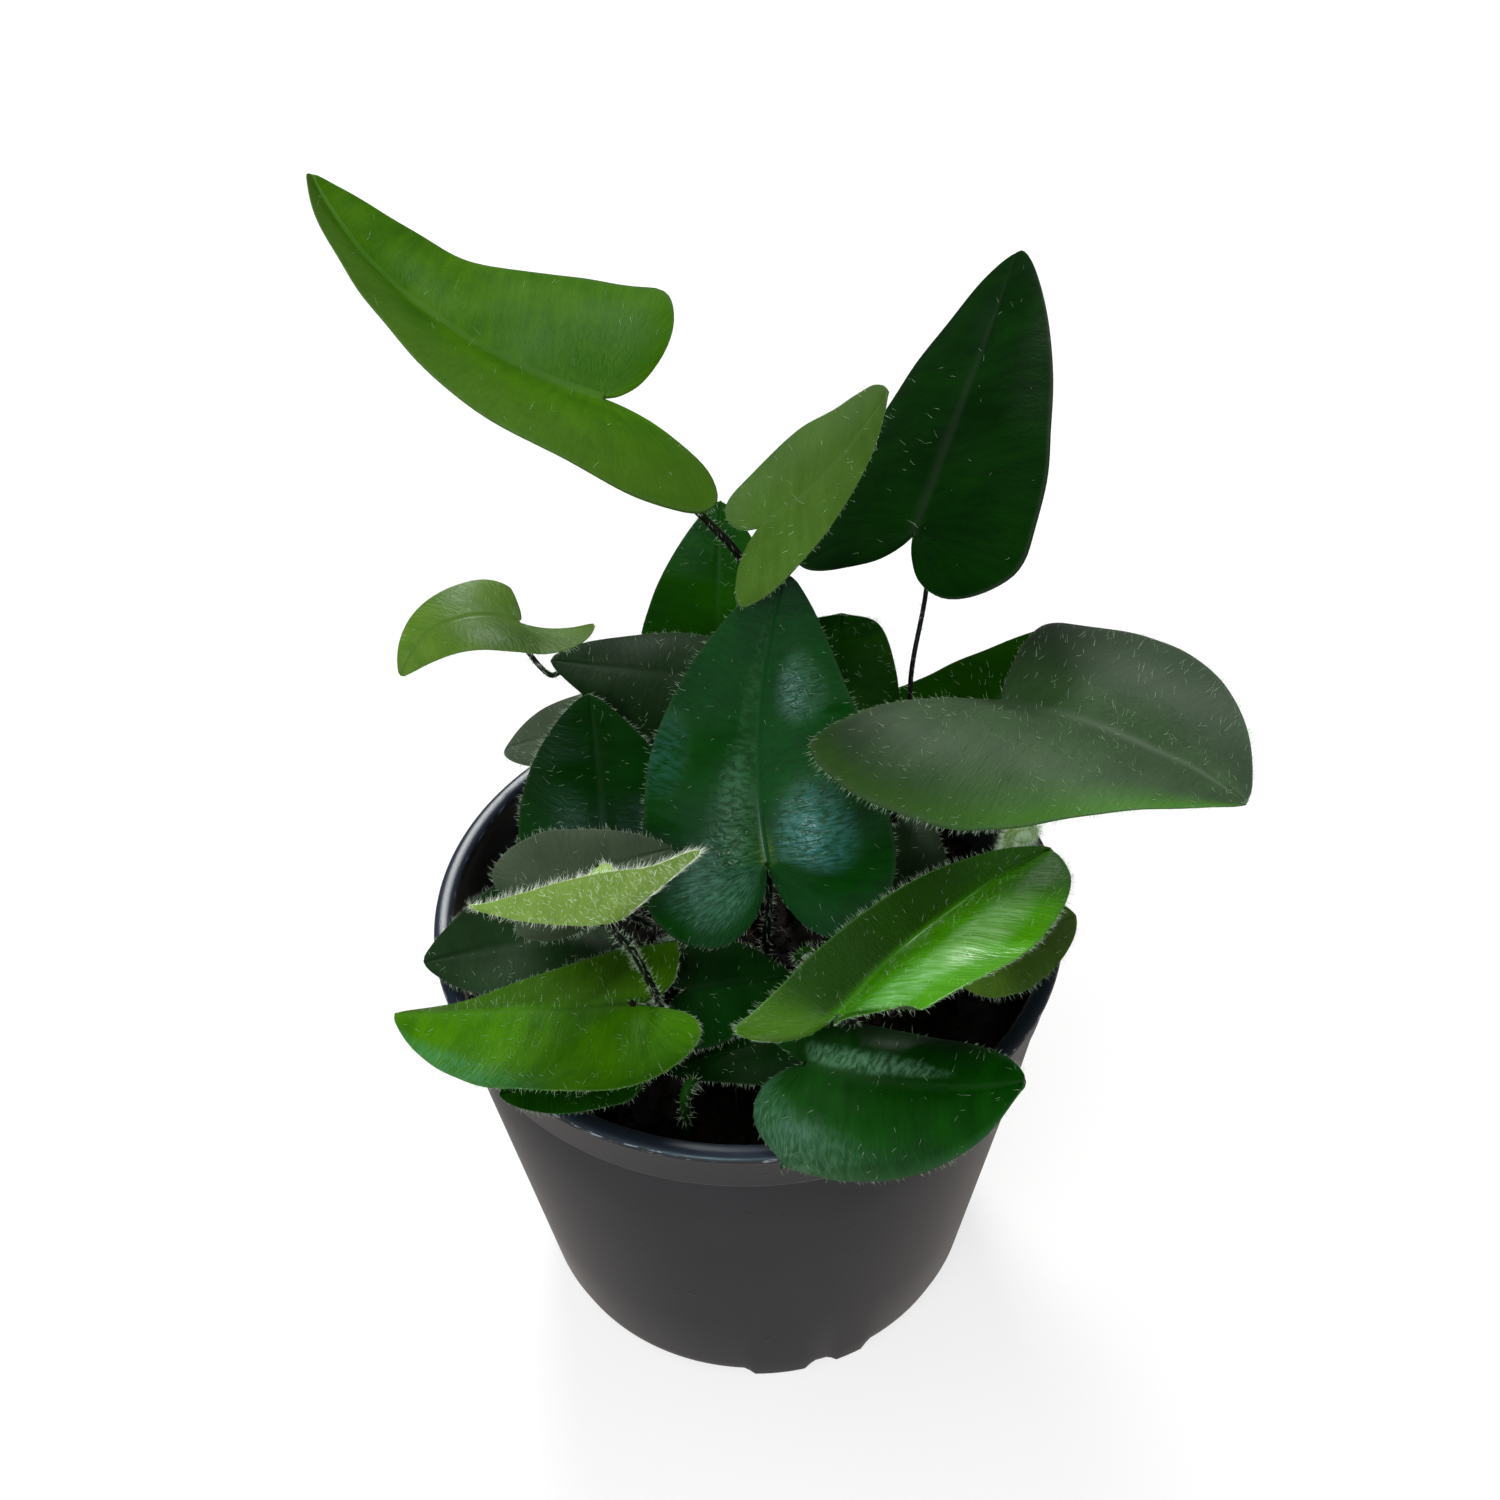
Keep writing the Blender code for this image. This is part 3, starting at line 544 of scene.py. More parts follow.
def rounded(points, steps):
    """Rounded line through the points, as an array."""
    row = np.array([(points[0][0], -points[1][1])] + list(points) + [(0.35, 0.0)])
    t = (np.arange(steps) / steps)[:, None]
    runs = []
    for a, b, c, d in zip(row, row[1:], row[2:], row[3:]):
        runs.append(0.5 * (2 * b + (c - a) * t + (2 * a - 5 * b + 4 * c - d) * t ** 2
                           + (3 * b - a - 3 * c + d) * t ** 3))
    return np.vstack(runs + [row[-2:-1]])


def half_edge(leaf, side, count):
    """Margin of one half, tip to notch, at even steps."""
    line = rounded(ARROW if leaf.young else HEART, 10)
    back = np.clip(-line[:, 0], 0.0, 1.0)
    line[:, 1] += leaf.flare * 0.45 * back ** 1.5 * (1.15 - line[:, 1])
    lobe = leaf.lobe * leaf.length * (1 + side * leaf.lobe_lean)
    half = leaf.width / 2 * (1 + side * leaf.lean)
    u = np.where(line[:, 0] > 0, line[:, 0] * leaf.length, line[:, 0] * lobe)
    v = line[:, 1] * half
    for dent_side, at, depth, reach in leaf.dents:
        if dent_side == side:
            v = v - depth * np.exp(-((u - at) / reach) ** 2) * np.minimum(1.0, v / (half * 0.4))
    walked = np.concatenate([[0.0], np.cumsum(np.hypot(np.diff(u), np.diff(v)))])
    goal = np.linspace(0.0, walked[-1], count + 1)
    return np.stack([np.interp(goal, walked, u), side * np.interp(goal, walked, v)], 1)


print("points of half a heart and half a young blade:", len(HEART), len(ARROW))

# %% [markdown]
# ## Bending a blade
# A blade folds along its midrib, arches towards its margins, curls along its length and twists.
# Bend modifiers could do this one after the other, but sums on arrays do it exactly as the plain
# solid does. A sharp crease would look like folded card, so the midrib is rounded and sits in a
# shallow groove. Low swells lie across the blade, because a real one is never quite smooth and
# its highlights break up, and a small wave runs along the margin.

# %% Lay the flat blade on its surface
CREASE = 2.2
GROOVE = 0.02
GROOVE_WIDTH = 0.6
WAVE = 0.4
SWELL = 0.022
SWELLS = np.random.default_rng(41).uniform((0.16, 0, 0), (0.5, 6.3, 6.3), (9, 3))


def bend(leaf, u, v):
    """Points of the flat blade, moved onto the folded, curled and twisted surface."""
    length = leaf.length
    half = leaf.width / 2
    side = np.where(v < 0, -1.0, 1.0)
    reach = np.abs(v)
    fold = np.radians(np.where(v < 0, leaf.fold[1], leaf.fold[0]))
    arch = math.radians(leaf.arch) / half + 1e-9
    y = side * (np.sin(fold) - np.sin(fold - arch * reach)) / arch
    z = (np.cos(fold - arch * reach) - np.cos(fold)) / arch
    z = z + np.sin(fold) * (np.sqrt(reach ** 2 + CREASE ** 2) - reach)
    z = z - GROOVE * np.exp(-(reach / GROOVE_WIDTH) ** 2)
    z = z + WAVE * (reach / half) ** 2 * np.sin(u / length * 9.0 + side * 1.3 + leaf.seed)
    for pace, way, start in SWELLS:
        ahead = (u * math.cos(way) + v * math.sin(way)) * pace
        z = z + SWELL / pace * np.sin(ahead + start + leaf.seed)
    lobe_rate = -math.radians(leaf.droop) / (leaf.lobe * length) + 1e-9
    rate = np.where(u > 0, math.radians(leaf.curl) / length + 1e-9, lobe_rate)
    turn = rate * u
    x_mid = np.sin(turn) / rate
    z_mid = (1 - np.cos(turn)) / rate
    spin = math.radians(leaf.twist) * u / length
    y, z = y * np.cos(spin) - z * np.sin(spin), y * np.sin(spin) + z * np.cos(spin)
    x = x_mid - z * np.sin(turn)
    z = z_mid + z * np.cos(turn)
    swing = math.radians(leaf.bow) * np.maximum(u, 0.0) / length / 2
    x, y = x * np.cos(swing) - y * np.sin(swing), x * np.sin(swing) + y * np.cos(swing)
    return np.stack([x, y, z], -1)


def leaf_axes(leaf):
    """Rows: towards the tip, to the blade's left, out of its upper face."""
    heading, rise, roll = (math.radians(angle) for angle in leaf.way)
    ahead = np.array([math.cos(heading) * math.cos(rise), math.sin(heading) * math.cos(rise),
                      math.sin(rise)])
    left = np.array([-math.sin(heading), math.cos(heading), 0.0])
    up = np.cross(ahead, left)
    return np.array([ahead, left * math.cos(roll) + up * math.sin(roll),
                     up * math.cos(roll) - left * math.sin(roll)])


def lay(leaf, u, v):
    return np.array(leaf.base) + bend(leaf, u, v) @ leaf_axes(leaf)


print("swells across a blade:", len(SWELLS))

# %% [markdown]
# ## The grid of a blade
# The veins of a blade run from midrib to margin, and the grid follows them: across from the left
# margin over the midrib to the right margin, and down from tip to notch. A plain square grid cut
# to the outline would leave a jagged margin. The two maps for the finish come from the same grid.

# %% Lay out the grid
def blade_grid(leaf, count, rows):
    """Flat places and the two maps of the blade's grid: as shares, and in millimetres."""
    left = half_edge(leaf, 1, count)
    right = half_edge(leaf, -1, count)
    length = leaf.length
    start = length * np.maximum((left[:, 0] + right[:, 0]) / 2 / length, 0.0) ** 1.25
    steps = np.arange(rows + 1) / rows
    share = 0.5 - 0.5 * np.cos(np.pi * np.arange(rows + 1) / rows)
    share = np.append((0.5 * share + 0.5 * steps) * 0.985, 1.0)
    rows = rows + 1
    u_left, u_right = (start[:, None] + (edge[:, :1] - start[:, None]) * share
                       for edge in (left, right))
    u = np.hstack([u_left[:, ::-1], u_right[:, 1:]])
    v = np.hstack([(left[:, 1:] * share)[:, ::-1], (right[:, 1:] * share)[:, 1:]])
    down = np.repeat(np.arange(count + 1)[:, None] / count, 2 * rows + 1, 1)
    side = np.concatenate([np.ones(rows + 1), -np.ones(rows)])
    across = np.concatenate([share[::-1], share[1:]])
    shares = np.stack([0.5 + 0.5 * side * down, np.broadcast_to(across, u.shape)], -1)
    margin = np.linalg.norm(np.diff(left, axis=0), axis=1).sum()
    reach = np.hypot(u[:, :1] - u[:, rows:rows + 1], v[:, :1]) * across
    sizes = np.stack([side * down * margin + 200.0, reach], -1)
    return u, v, shares, sizes


def grid_normals(spots):
    """Unit normals of a grid of points, out of the blade's upper face."""
    down = np.gradient(spots, axis=0)
    across = np.gradient(spots, axis=1)
    n = np.cross(down, across)
    size = np.linalg.norm(n, axis=-1, keepdims=True)
    n = n / np.maximum(size, 1e-9)
    for end, near in ((0, 1), (-1, -2)):
        mean = n[near].sum(0)
        n[end] = mean / np.linalg.norm(mean)
    return n


print("a blade's grid comes with maps in shares and in millimetres")

# %% [markdown]
# ## A blade with two faces
# A real blade is a quarter of a millimetre thick, with a margin like paper. A Solidify modifier
# would give it one thickness all over. Here the underside is the same grid moved along the
# normals, less at the margin, and it takes a second, paler finish.

# %% Close the blade
BLADE_BODY = 0.46
BLADE_EDGE = 0.14


def blade_mesh(leaf, count, rows):
    """Points, faces, finish numbers and maps of a closed blade, plus what its hairs need."""
    u, v, shares, sizes = blade_grid(leaf, count, rows)
    top = lay(leaf, u, v)
    n = grid_normals(top)
    across = shares[..., 1:]
    lift = -leaf.rim * across[..., 0] ** 4 * np.tanh(sizes[:, :1, 1] * 2.2 / leaf.width)
    for at_u, at_v, height, long, wide in leaf.bulges:
        lift = lift + height * np.exp(-((u - at_u) / long) ** 2 - ((v - at_v) / wide) ** 2)
    top = top + n * lift[..., None]
    n = grid_normals(top)
    thick = BLADE_EDGE + (BLADE_BODY - BLADE_EDGE) * (1 - across ** 6)
    under = top - n * thick
    points = np.vstack([top.reshape(-1, 3), under.reshape(-1, 3)])
    _, first, same = np.unique(np.round(points, 5), axis=0, return_index=True, return_inverse=True)
    same = same.ravel()
    wide = u.shape[1]
    total = (count + 1) * wide
    faces, finish_of, corners = [], [], []

    def add(loop, finish):
        kept = []
        for k in loop:
            if not kept or same[kept[-1]] != same[k]:
                kept.append(k)
        if len(kept) > 1 and same[kept[0]] == same[kept[-1]]:
            kept.pop()
        if len(kept) > 2:
            faces.append([int(same[k]) for k in kept])
            finish_of.append(finish)
            corners.extend(k % total for k in kept)

    for i in range(count):
        for j in range(wide - 1):
            a = i * wide + j
            add((a, a + wide, a + wide + 1, a + 1), 0)
            add((total + a, total + a + 1, total + a + wide + 1, total + a + wide), 1)
        for j, turn in ((0, 1), (wide - 1, -1)):
            a, b = i * wide + j, (i + 1) * wide + j
            add((a, total + a, total + b, b)[::turn], 0)
    charts = {"share": shares.reshape(-1, 2)[corners], "size": sizes.reshape(-1, 2)[corners]}
    return points[first], faces, finish_of, charts, top, n


print("a blade is", BLADE_BODY, "mm thick and", BLADE_EDGE, "mm at its margin")

# %% [markdown]
# ## The numbers of every frond
# Each line is one frond, named after where its blade is seen from the front. Leaves could be
# scattered at random, but this is one certain plant, so the numbers are those of its solids and
# each fine blade lies on its plain one. In order they are name, tone, the notch in millimetres,
# heading, rise and roll in degrees, length, width and lobe, then both folds, arch, curl and droop
# in degrees, and the foot of the stipe.

# %% List the fronds
def frond(name, tone, base, way, size, bends, root, lean=0.0, lobe_lean=0.0, bow=0.0, twist=0.0,
          flare=0.0, dents=(), bulges=(), rim=0.8, young=False, hair=1.0, stem=0.6,
          arrive=(0.5, 0.8), via=()):
    """One frond; lengths are in millimetres and angles in degrees.

    Lean and lobe_lean make the left half wider and longer, bow bends the blade to the left, flare
    fills out its lobes and rim rolls its margin down. A dent is a side, place, depth and reach, a
    bulge its place along and across, height, length and width. Stem is the stipe's radius, via
    are spots on its way, and arrive is how it meets the blade, along it and up through it.
    """
    leaf = SimpleNamespace(**locals())
    leaf.length, leaf.width, leaf.lobe = size
    leaf.fold, leaf.arch, leaf.curl, leaf.droop = bends
    leaf.seed = len(name) * 0.7 + leaf.length * 0.37
    return leaf


FRONDS = [
    frond("tall_left", "fresh", (-21, 6, 205.5), (167, 13, 14), (69, 66, 0.21),
          ((16, 27), 18, 19, 12), (1, 12), hair=0.12, lobe_lean=0.6, bow=-52, twist=26, stem=0.75,
          dents=((-1, 38, 2.5, 9),), arrive=(-0.2, 1.0),
          via=((5, 21, 110), (8, 21, 137), (1, 22, 159), (-8, 14, 179))),
    frond("tall_right", "night", (32, 30, 159), (64, 31, -23), (67, 62, 0.15),
          ((1, 10), 30, -17, -1), (14, 14), hair=0.15, lean=0.2, lobe_lean=-0.2, bow=16, twist=-12,
          stem=0.5, arrive=(0.2, 1.0), via=((29, 18, 100), (32, 27, 127))),
    frond("upper_middle", "mid", (4, 19, 170), (-19, 45, 15), (43, 37, 0.16),
          ((-1, 2), -2, 26, -19), (3, 9), hair=0.4, lobe_lean=0.4, bow=-6, twist=10, stem=0.6,
          via=((8, 19, 145),)),
    frond("back_middle", "forest", (-5, 37, 122), (81, 62, 0), (34, 31, 0.3), ((17, 18), 23, 17, 0),
          (-1, 16), arrive=(0.8, 0.5)),
    frond("middle_left", "slate", (-3.5, 15, 137.5), (184, 14, -14), (32, 29, 0.3),
          ((9, 9), 44, 1, 0), (-8, 7), lean=0.1),
    frond("left_upright", "deep", (-26, -3, 113), (92, 64, -7), (33, 34, 0.3),
          ((13, 18), 34, 26, 0), (-12, 3), lobe_lean=-0.2, arrive=(0.8, 0.5), via=((-17, 4, 100),)),
    frond("left_back", "ash", (-26, 31, 110.5), (172, -5, -7), (26.5, 22.5, 0.3),
          ((16, 18), 10, -44, 0), (-13, 11), bow=-17),
    frond("centre_large", "glossy", (3.5, -14.5, 120), (109, 62, -9), (53, 47, 0.29),
          ((6, 18), 25, 4, 2), (3, -4), hair=0.5,
          bulges=((6, -11, 1.5, 7, 7), (-8, 11, 1.3, 7, 7), (30, -9, 0.6, 8, 8)), lobe_lean=-0.1,
          bow=-27, twist=-3, stem=0.75, dents=((1, 9, 1.9, 10),), arrive=(0.9, 0.4)),
    frond("back_right", "forest", (18, 24, 117), (90, 64, 1), (33, 28, 0.3), ((-3, -3), 38, 66, 0),
          (8, 12), arrive=(0.8, 0.5)),
    frond("right_large", "grey", (45.5, 0, 143.5), (-29, 8, -7), (54, 70, 0.23),
          ((28, 31), 58, 5, 3), (16, 4), hair=1.3, lean=-0.1, lobe_lean=-0.8, bow=-38, twist=10,
          stem=0.75, flare=0.9),
    frond("right_back", "shade", (42, 33, 106.5), (45, -8, -15), (37, 34, 0.3),
          ((24, 18), 5, 28, 0), (17, 9), bow=5, twist=-6),
    frond("front_right_glossy", "vivid", (15.4, -50, 117.5), (46, 14, -15), (57, 46, 0.25),
          ((46, 42), 9, -31, -36), (8, -10), hair=1.1, rim=1.0, bulges=((20, -12, 2.6, 32, 12),),
          lean=-0.5, lobe_lean=0.4, bow=9, twist=37, flare=0.6, arrive=(-0.5, 0.8),
          via=((13, -30, 104),)),
    frond("right_low", "dusk", (30, 0, 94), (80, 38, 2), (21, 17.5, 0.3), ((15, 16), 19, -50, 0),
          (18, -2)),
    frond("right_rim", "light", (41, -19, 103), (26, -10, 14), (24, 26.5, 0.35),
          ((21, 16), 17, -13, 0), (17, -8), bow=3, twist=4),
    frond("front_right_pointed", "jade", (9.3, -51, 107.7), (-20, -2, 6), (43, 38.5, 0.25),
          ((19, 3), 87, 47, 50), (17, -16), hair=0.5, bulges=((14, 6, 1.0, 12, 5),), lean=-0.1,
          bow=-7, via=((16, -34, 98),), flare=0.3),
    frond("front_left_bright", "bright", (-20, -42, 115.3), (170, -14, 12), (48, 50, 0.17),
          ((-26, -36), -55, -5, -15), (-20, -12), lobe_lean=0.7, bow=-11, via=((-21.5, -26, 101),)),
    frond("left_rim", "slate", (-29.5, -9.5, 99.7), (194, -3, -7), (31.5, 34, 0.19),
          ((6, 10), -25, -4, 0), (-18, -3), lean=0.1, bow=-5, twist=-12),
    frond("front_left_young", "woolly", (-21.8, -42.5, 134), (213, 22, 44), (28.5, 34.5, 0.4),
          ((49, 47), 20, 26, -13), (-17, -8), hair=5.0, twist=14, young=True, stem=0.7,
          via=((-19, -22, 97), (-15.8, -38, 108), (-16.2, -40.2, 114.5), (-19.2, -42, 127))),
    frond("left_low_grey", "ash", (-34.4, -28, 128), (23, 7, 13), (23.5, 21, 0.33),
          ((20, 18), 11, -18, 3), (-15, 6), via=((-18.5, -8, 98), (-25, -18, 113))),
    frond("front_low_dark", "deep", (-11.5, -22, 95), (20, -10, 20), (21, 23, 0.27),
          ((18, 8), 26, -12, 0), (-4, -9)),
    frond("front_low_middle", "night", (8, -28, 87.5), (192, -1, 4), (24, 21, 0.3),
          ((22, 6), 12, -11, 0), (2, -16), lean=0.3),
    frond("front_left_rim", "forest", (-25, -43, 100), (192, -7, 3), (20, 25, 0.3),
          ((20, 4), 0, -5, 0), (-14, -18), lean=0.1, twist=-10, via=((-19, -31, 87),)),
    frond("left_small_curled", "light", (-38, 0, 165), (191, 38, 10), (25, 21, 0.3),
          ((12, 18), 7, -108, -36), (-9, 14), lean=0.1, lobe_lean=0.8, bow=-8, twist=-20, stem=0.5,
          via=((-18, 16, 106), (-31, 23, 131), (-35.2, 16, 139.5), (-37, 4, 155))),
]
print("fronds:", len(FRONDS))

# %% [markdown]
# ## Hairs
# The whole plant is clothed in fine pale hairs. Particle hair is quick to comb, but it isn't a
# mesh and would be lost when the plant is saved as one. So each hair is a tapered three-sided
# spike with a slight bend, and thousands of them are worked out at once with arrays.

# %% Grow hairs from points
HAIR_POINTS = 7
SPIKE = [face for k, n in ((0, 1), (1, 2), (2, 0))
         for face in ((k, n, 3 + n), (k, 3 + n, 3 + k), (3 + k, 3 + n, 6))]


def unit(rows):
    return rows / np.maximum(np.linalg.norm(rows, axis=-1, keepdims=True), 1e-9)


def grow(roots, ways, lengths, width, bend_share, dice):
    """Points and triangles of hairs that leave the roots along the ways; millimetres."""
    count = len(roots)
    ways = unit(ways)
    side = unit(np.cross(ways, dice.normal(size=(count, 3))))
    other = np.cross(ways, side)
    bent = unit(dice.normal(size=(count, 3))) * (lengths * bend_share)[:, None]
    base = roots - ways * 0.12
    middle = roots + ways * (lengths * 0.5)[:, None] + bent * 0.3
    tip = roots + ways * lengths[:, None] + bent
    radius = width / 2 * dice.uniform(0.7, 1.2, count)
    points = np.empty((count, HAIR_POINTS, 3))
    for k in range(3):
        angle = 2 * math.pi * k / 3
        out = (side * math.cos(angle) + other * math.sin(angle)) * radius[:, None]
        points[:, k] = base + out
        points[:, 3 + k] = middle + out * 0.75
    points[:, 6] = tip
    faces = (np.arange(count) * HAIR_POINTS)[:, None, None] + np.array(SPIKE)[None]
    return points.reshape(-1, 3), faces.reshape(-1, 3)


def gather(parts):
    """Join several point and face arrays into one."""
    points, faces, total = [], [], 0
    for spots, loops in parts:
        points.append(spots)
        faces.append(loops + total)
        total += len(spots)
    return np.vstack(points), np.vstack(faces).tolist()


def add_hairs(name, parts, finish, slot_name):
    """One piece from several lots of hairs; gives back how many they are."""
    points, faces = gather(parts)
    add_piece(name, points, faces, [finish], slot_name)
    return len(points) // HAIR_POINTS


print("a hair has", HAIR_POINTS, "points and", len(SPIKE), "triangles")

# %% [markdown]
# ## Where hairs stand on a blade
# On the upper face hairs lean towards the margin. Along the margin they make a fringe, which
# catches the light as a pale outline, and the underside carries a looser coat. Their places are
# drawn by area, not by face, because the grid is finer near the margin and the hairs are not.

# %% Choose roots and ways on a blade
HAIR_WIDTH = 0.055


def walk(line):
    """Length walked to each point of a line."""
    return np.concatenate([[0.0], np.cumsum(np.linalg.norm(np.diff(line, axis=0), axis=1))])


def pick(goal, walked, rows):
    """Rows at the walked goals, each between its two neighbours."""
    return np.stack([np.interp(goal, walked, rows[:, k]) for k in range(3)], 1)


def surface_hairs(top, n, face_side, amount, reach, lean, width, dice):
    """Scattered hairs; amount is per square millimetre, reach their mean length."""
    cells = np.cross(top[1:, 1:] - top[:-1, :-1], top[1:, :-1] - top[:-1, 1:]) / 2
    area = np.linalg.norm(cells, axis=-1)
    count = int(area.sum() * amount)
    at = dice.choice(area.size, count, p=(area / area.sum()).ravel())
    i, j = np.unravel_index(at, area.shape)
    s, t = dice.uniform(size=(2, count, 1))
    spots = ((top[i, j] * (1 - s) + top[i + 1, j] * s) * (1 - t)
             + (top[i, j + 1] * (1 - s) + top[i + 1, j + 1] * s) * t)
    middle = top.shape[1] // 2
    outward = unit(top[i, j + 1] - top[i, j]) * np.where(j < middle, -1.0, 1.0)[:, None]
    up = n[i, j] * face_side
    if face_side < 0:
        spots = spots + up * BLADE_BODY
    ways = unit(up) * (1 - lean) + outward * lean + dice.normal(size=(count, 3)) * 0.28
    lengths = reach * dice.uniform(0.6, 1.35, count)
    return grow(spots, ways, lengths, width, 0.16, dice)


def fringe_hairs(top, n, per_mm, reach, width, dice):
    """Fringe along both margins."""
    made = []
    for edge, inner in ((0, 3), (-1, -4)):
        line = top[:, edge]
        walked = walk(line)
        count = int(walked[-1] * per_mm)
        goal = np.sort(dice.uniform(0, walked[-1], count))
        up = pick(goal, walked, n[:, edge])
        way = pick(goal, walked, unit(line - top[:, inner]))
        way = way + up * dice.normal(0.0, 0.3, (count, 1)) + dice.normal(size=(count, 3)) * 0.12
        lengths = reach * dice.uniform(0.4, 1.3, count)
        made.append(grow(pick(goal, walked, line) - up * 0.1, way, lengths, width, 0.2, dice))
    return made


print("hairs are", HAIR_WIDTH, "mm wide")

# %% [markdown]
# ## Build the blades
# All blades could be one mesh, but as pieces of their own they can be found and changed alone,
# and each stands for its own solid. Big blades get a finer grid than small ones. The hairs of a
# blade are one mesh, since thousands of objects would be slow.

# %% Make every blade and its hairs
BIG = 45.0
BIG_GRID = (76, 15)
GRID = (56, 11)

blade_faces = 0
hair_count = 0
for number, leaf in enumerate(FRONDS):
    dice = np.random.default_rng(100 + number)
    grid = BIG_GRID if leaf.length > BIG else GRID
    points, faces, finish_of, charts, top, n = blade_mesh(leaf, *grid)
    woolly = leaf.tone == "woolly"
    finishes = [TONES[leaf.tone], TONES["woolly" if woolly else "underside"]]
    add_piece("leaf_" + leaf.name, points, faces, finishes, "blade_green",
              ["blade_" + leaf.name], finish_of, charts)
    blade_faces += len(faces)
    rich = leaf.hair
    coat = [surface_hairs(top, n, 1, amount=0.10 * rich, reach=1.4, lean=0.4,
                          width=HAIR_WIDTH * 0.8, dice=dice),
            surface_hairs(top, n, -1, amount=0.25 * rich, reach=1.1, lean=0.2,
                          width=HAIR_WIDTH, dice=dice)]
    coat += fringe_hairs(top, n, per_mm=3.0 * min(max(rich, 0.3), 4.0),
                         reach=0.85 + 0.25 * min(rich, 4.0), width=HAIR_WIDTH * 0.75, dice=dice)
    hair_count += add_hairs("hairs_" + leaf.name, coat, hair_wool if woolly else hair_pale,
                            "blade_green")
print("blade faces:", blade_faces, "hairs on blades:", hair_count)

# %% [markdown]
# ## Lines and tubes
# A stipe is a wiry black stalk. It leaves the soil upright, bends on its way to the notch and
# runs into the underside of its blade. A curve with a bevel would do for it, but a mesh tube
# along a smooth line can be thicker at its foot and is saved as it is.

# %% Draw lines and tubes
SOIL_TOP = 80.0
HOLE_DEPTH = 7.0
UPRIGHT = np.array([0.0, 0.0, 1.0])


def smooth_path(spots, first_pull, last_pull, steps):
    """Rounded line through the spots with a given pull at each end."""
    spots = [np.array(s, dtype=float) for s in spots]
    pulls = [first_pull] + [(c - a) * 0.5 for a, c in zip(spots, spots[2:])] + [last_pull]
    t = (np.arange(steps) / steps)[:, None]
    runs = []
    for a, b, p, q in zip(spots, spots[1:], pulls, pulls[1:]):
        runs.append(a * (2 * t ** 3 - 3 * t ** 2 + 1) + b * (3 * t ** 2 - 2 * t ** 3)
                    + p * (t ** 3 - 2 * t ** 2 + t) + q * (t ** 3 - t ** 2))
    return np.vstack(runs + [spots[-1][None]])


def stipe_line(leaf):
    """Line of the stipe from the bottom of its hole to its blade."""
    ahead, _, up = leaf_axes(leaf)
    root = np.array([*leaf.root, SOIL_TOP + 1.0])
    end = np.array(leaf.base) - up * 0.3 + ahead * 0.6
    spots = [root, *map(np.array, leaf.via), end]
    first = UPRIGHT * np.linalg.norm(spots[1] - root)
    arrive = unit(ahead * leaf.arrive[0] + up * leaf.arrive[1])
    last = arrive * np.linalg.norm(spots[-1] - spots[-2])
    path = smooth_path(spots, first, last, steps=12 if leaf.via else 26)
    return np.vstack([root - UPRIGHT * HOLE_DEPTH, path])


def round_faces(rows, sides, turned_over=False):
    """Squares between rows of points, where each row goes once round."""
    faces = []
    for row in range(rows - 1):
        for k in range(sides):
            a, b = row * sides + k, row * sides + (k + 1) % sides
            loop = (a, a + sides, b + sides, b) if turned_over else (a, b, b + sides, a + sides)
            faces.append(loop)
    return faces


def tube(path, radii, sides):
    """Points and faces of a round stem along a path, closed at both ends."""
    turn = np.arange(sides) * 2 * np.pi / sides
    way = np.array([1.0, 0.0, 0.0])
    points = []
    for spot, a, radius in zip(path, unit(np.gradient(path, axis=0)), radii):
        way = unit(way - a * (way @ a))
        other = np.cross(a, way)
        points.append(spot + (np.cos(turn)[:, None] * way + np.sin(turn)[:, None] * other) * radius)
    ends = [tuple(reversed(range(sides))), tuple(range((len(path) - 1) * sides, len(path) * sides))]
    return np.vstack(points), round_faces(len(path), sides) + ends


print("a stipe stands", HOLE_DEPTH, "mm deep in the soil")

# %% [markdown]
# ## Build the stipes
# Stipes are hairy too, above all the one of the young blade. The hairs could share the mesh of
# their stipe, but a mesh of their own takes another finish and can be hidden to work faster.

# %% Make every stipe and its hairs
def stem_hairs(path, radii, amount, reach, dice):
    """Hairs all round a stem above its foot; amount is per millimetre of its length."""
    path, radii = path[2:], radii[2:]
    walked = walk(path)
    count = int(walked[-1] * amount)
    goal = dice.uniform(0, walked[-1], count)
    along = pick(goal, walked, unit(np.gradient(path, axis=0)))
    out = unit(np.cross(along, dice.normal(size=(count, 3))))
    spots = pick(goal, walked, path) + out * np.interp(goal, walked, radii)[:, None] * 0.95
    ways = out + along * dice.normal(0.15, 0.3, (count, 1)) + dice.normal(size=(count, 3)) * 0.2
    lengths = reach * dice.uniform(0.5, 1.3, count)
    return grow(spots, ways, lengths, HAIR_WIDTH, 0.22, dice)


stem_hair_count = 0
for number, leaf in enumerate(FRONDS):
    dice = np.random.default_rng(300 + number)
    path = stipe_line(leaf)
    radii = leaf.stem * (1.2 - 0.3 * np.linspace(0.0, 1.0, len(path)))
    points, faces = tube(path, radii, sides=10)
    add_piece("stem_" + leaf.name, points, faces, [stipe_black], "stipe_black",
              ["stipe_" + leaf.name])
    amount = 10.0 if leaf.tone == "woolly" else 3.0
    hairs = stem_hairs(path, radii, amount, reach=1.25, dice=dice)
    stem_hair_count += add_hairs("stem_hairs_" + leaf.name, [hairs], hair_pale, "stipe_black")
print("hairs on stipes:", stem_hair_count)

# %% [markdown]
# ## Rolled young fronds
# New fronds rise as coils wrapped in wool. The large one at the right is almost white with hairs,
# the small ones are dusky green. A spiral could be drawn as a curve, but the stipes' tube takes
# any line, so an upright stem simply runs on into a coil that gets tighter.

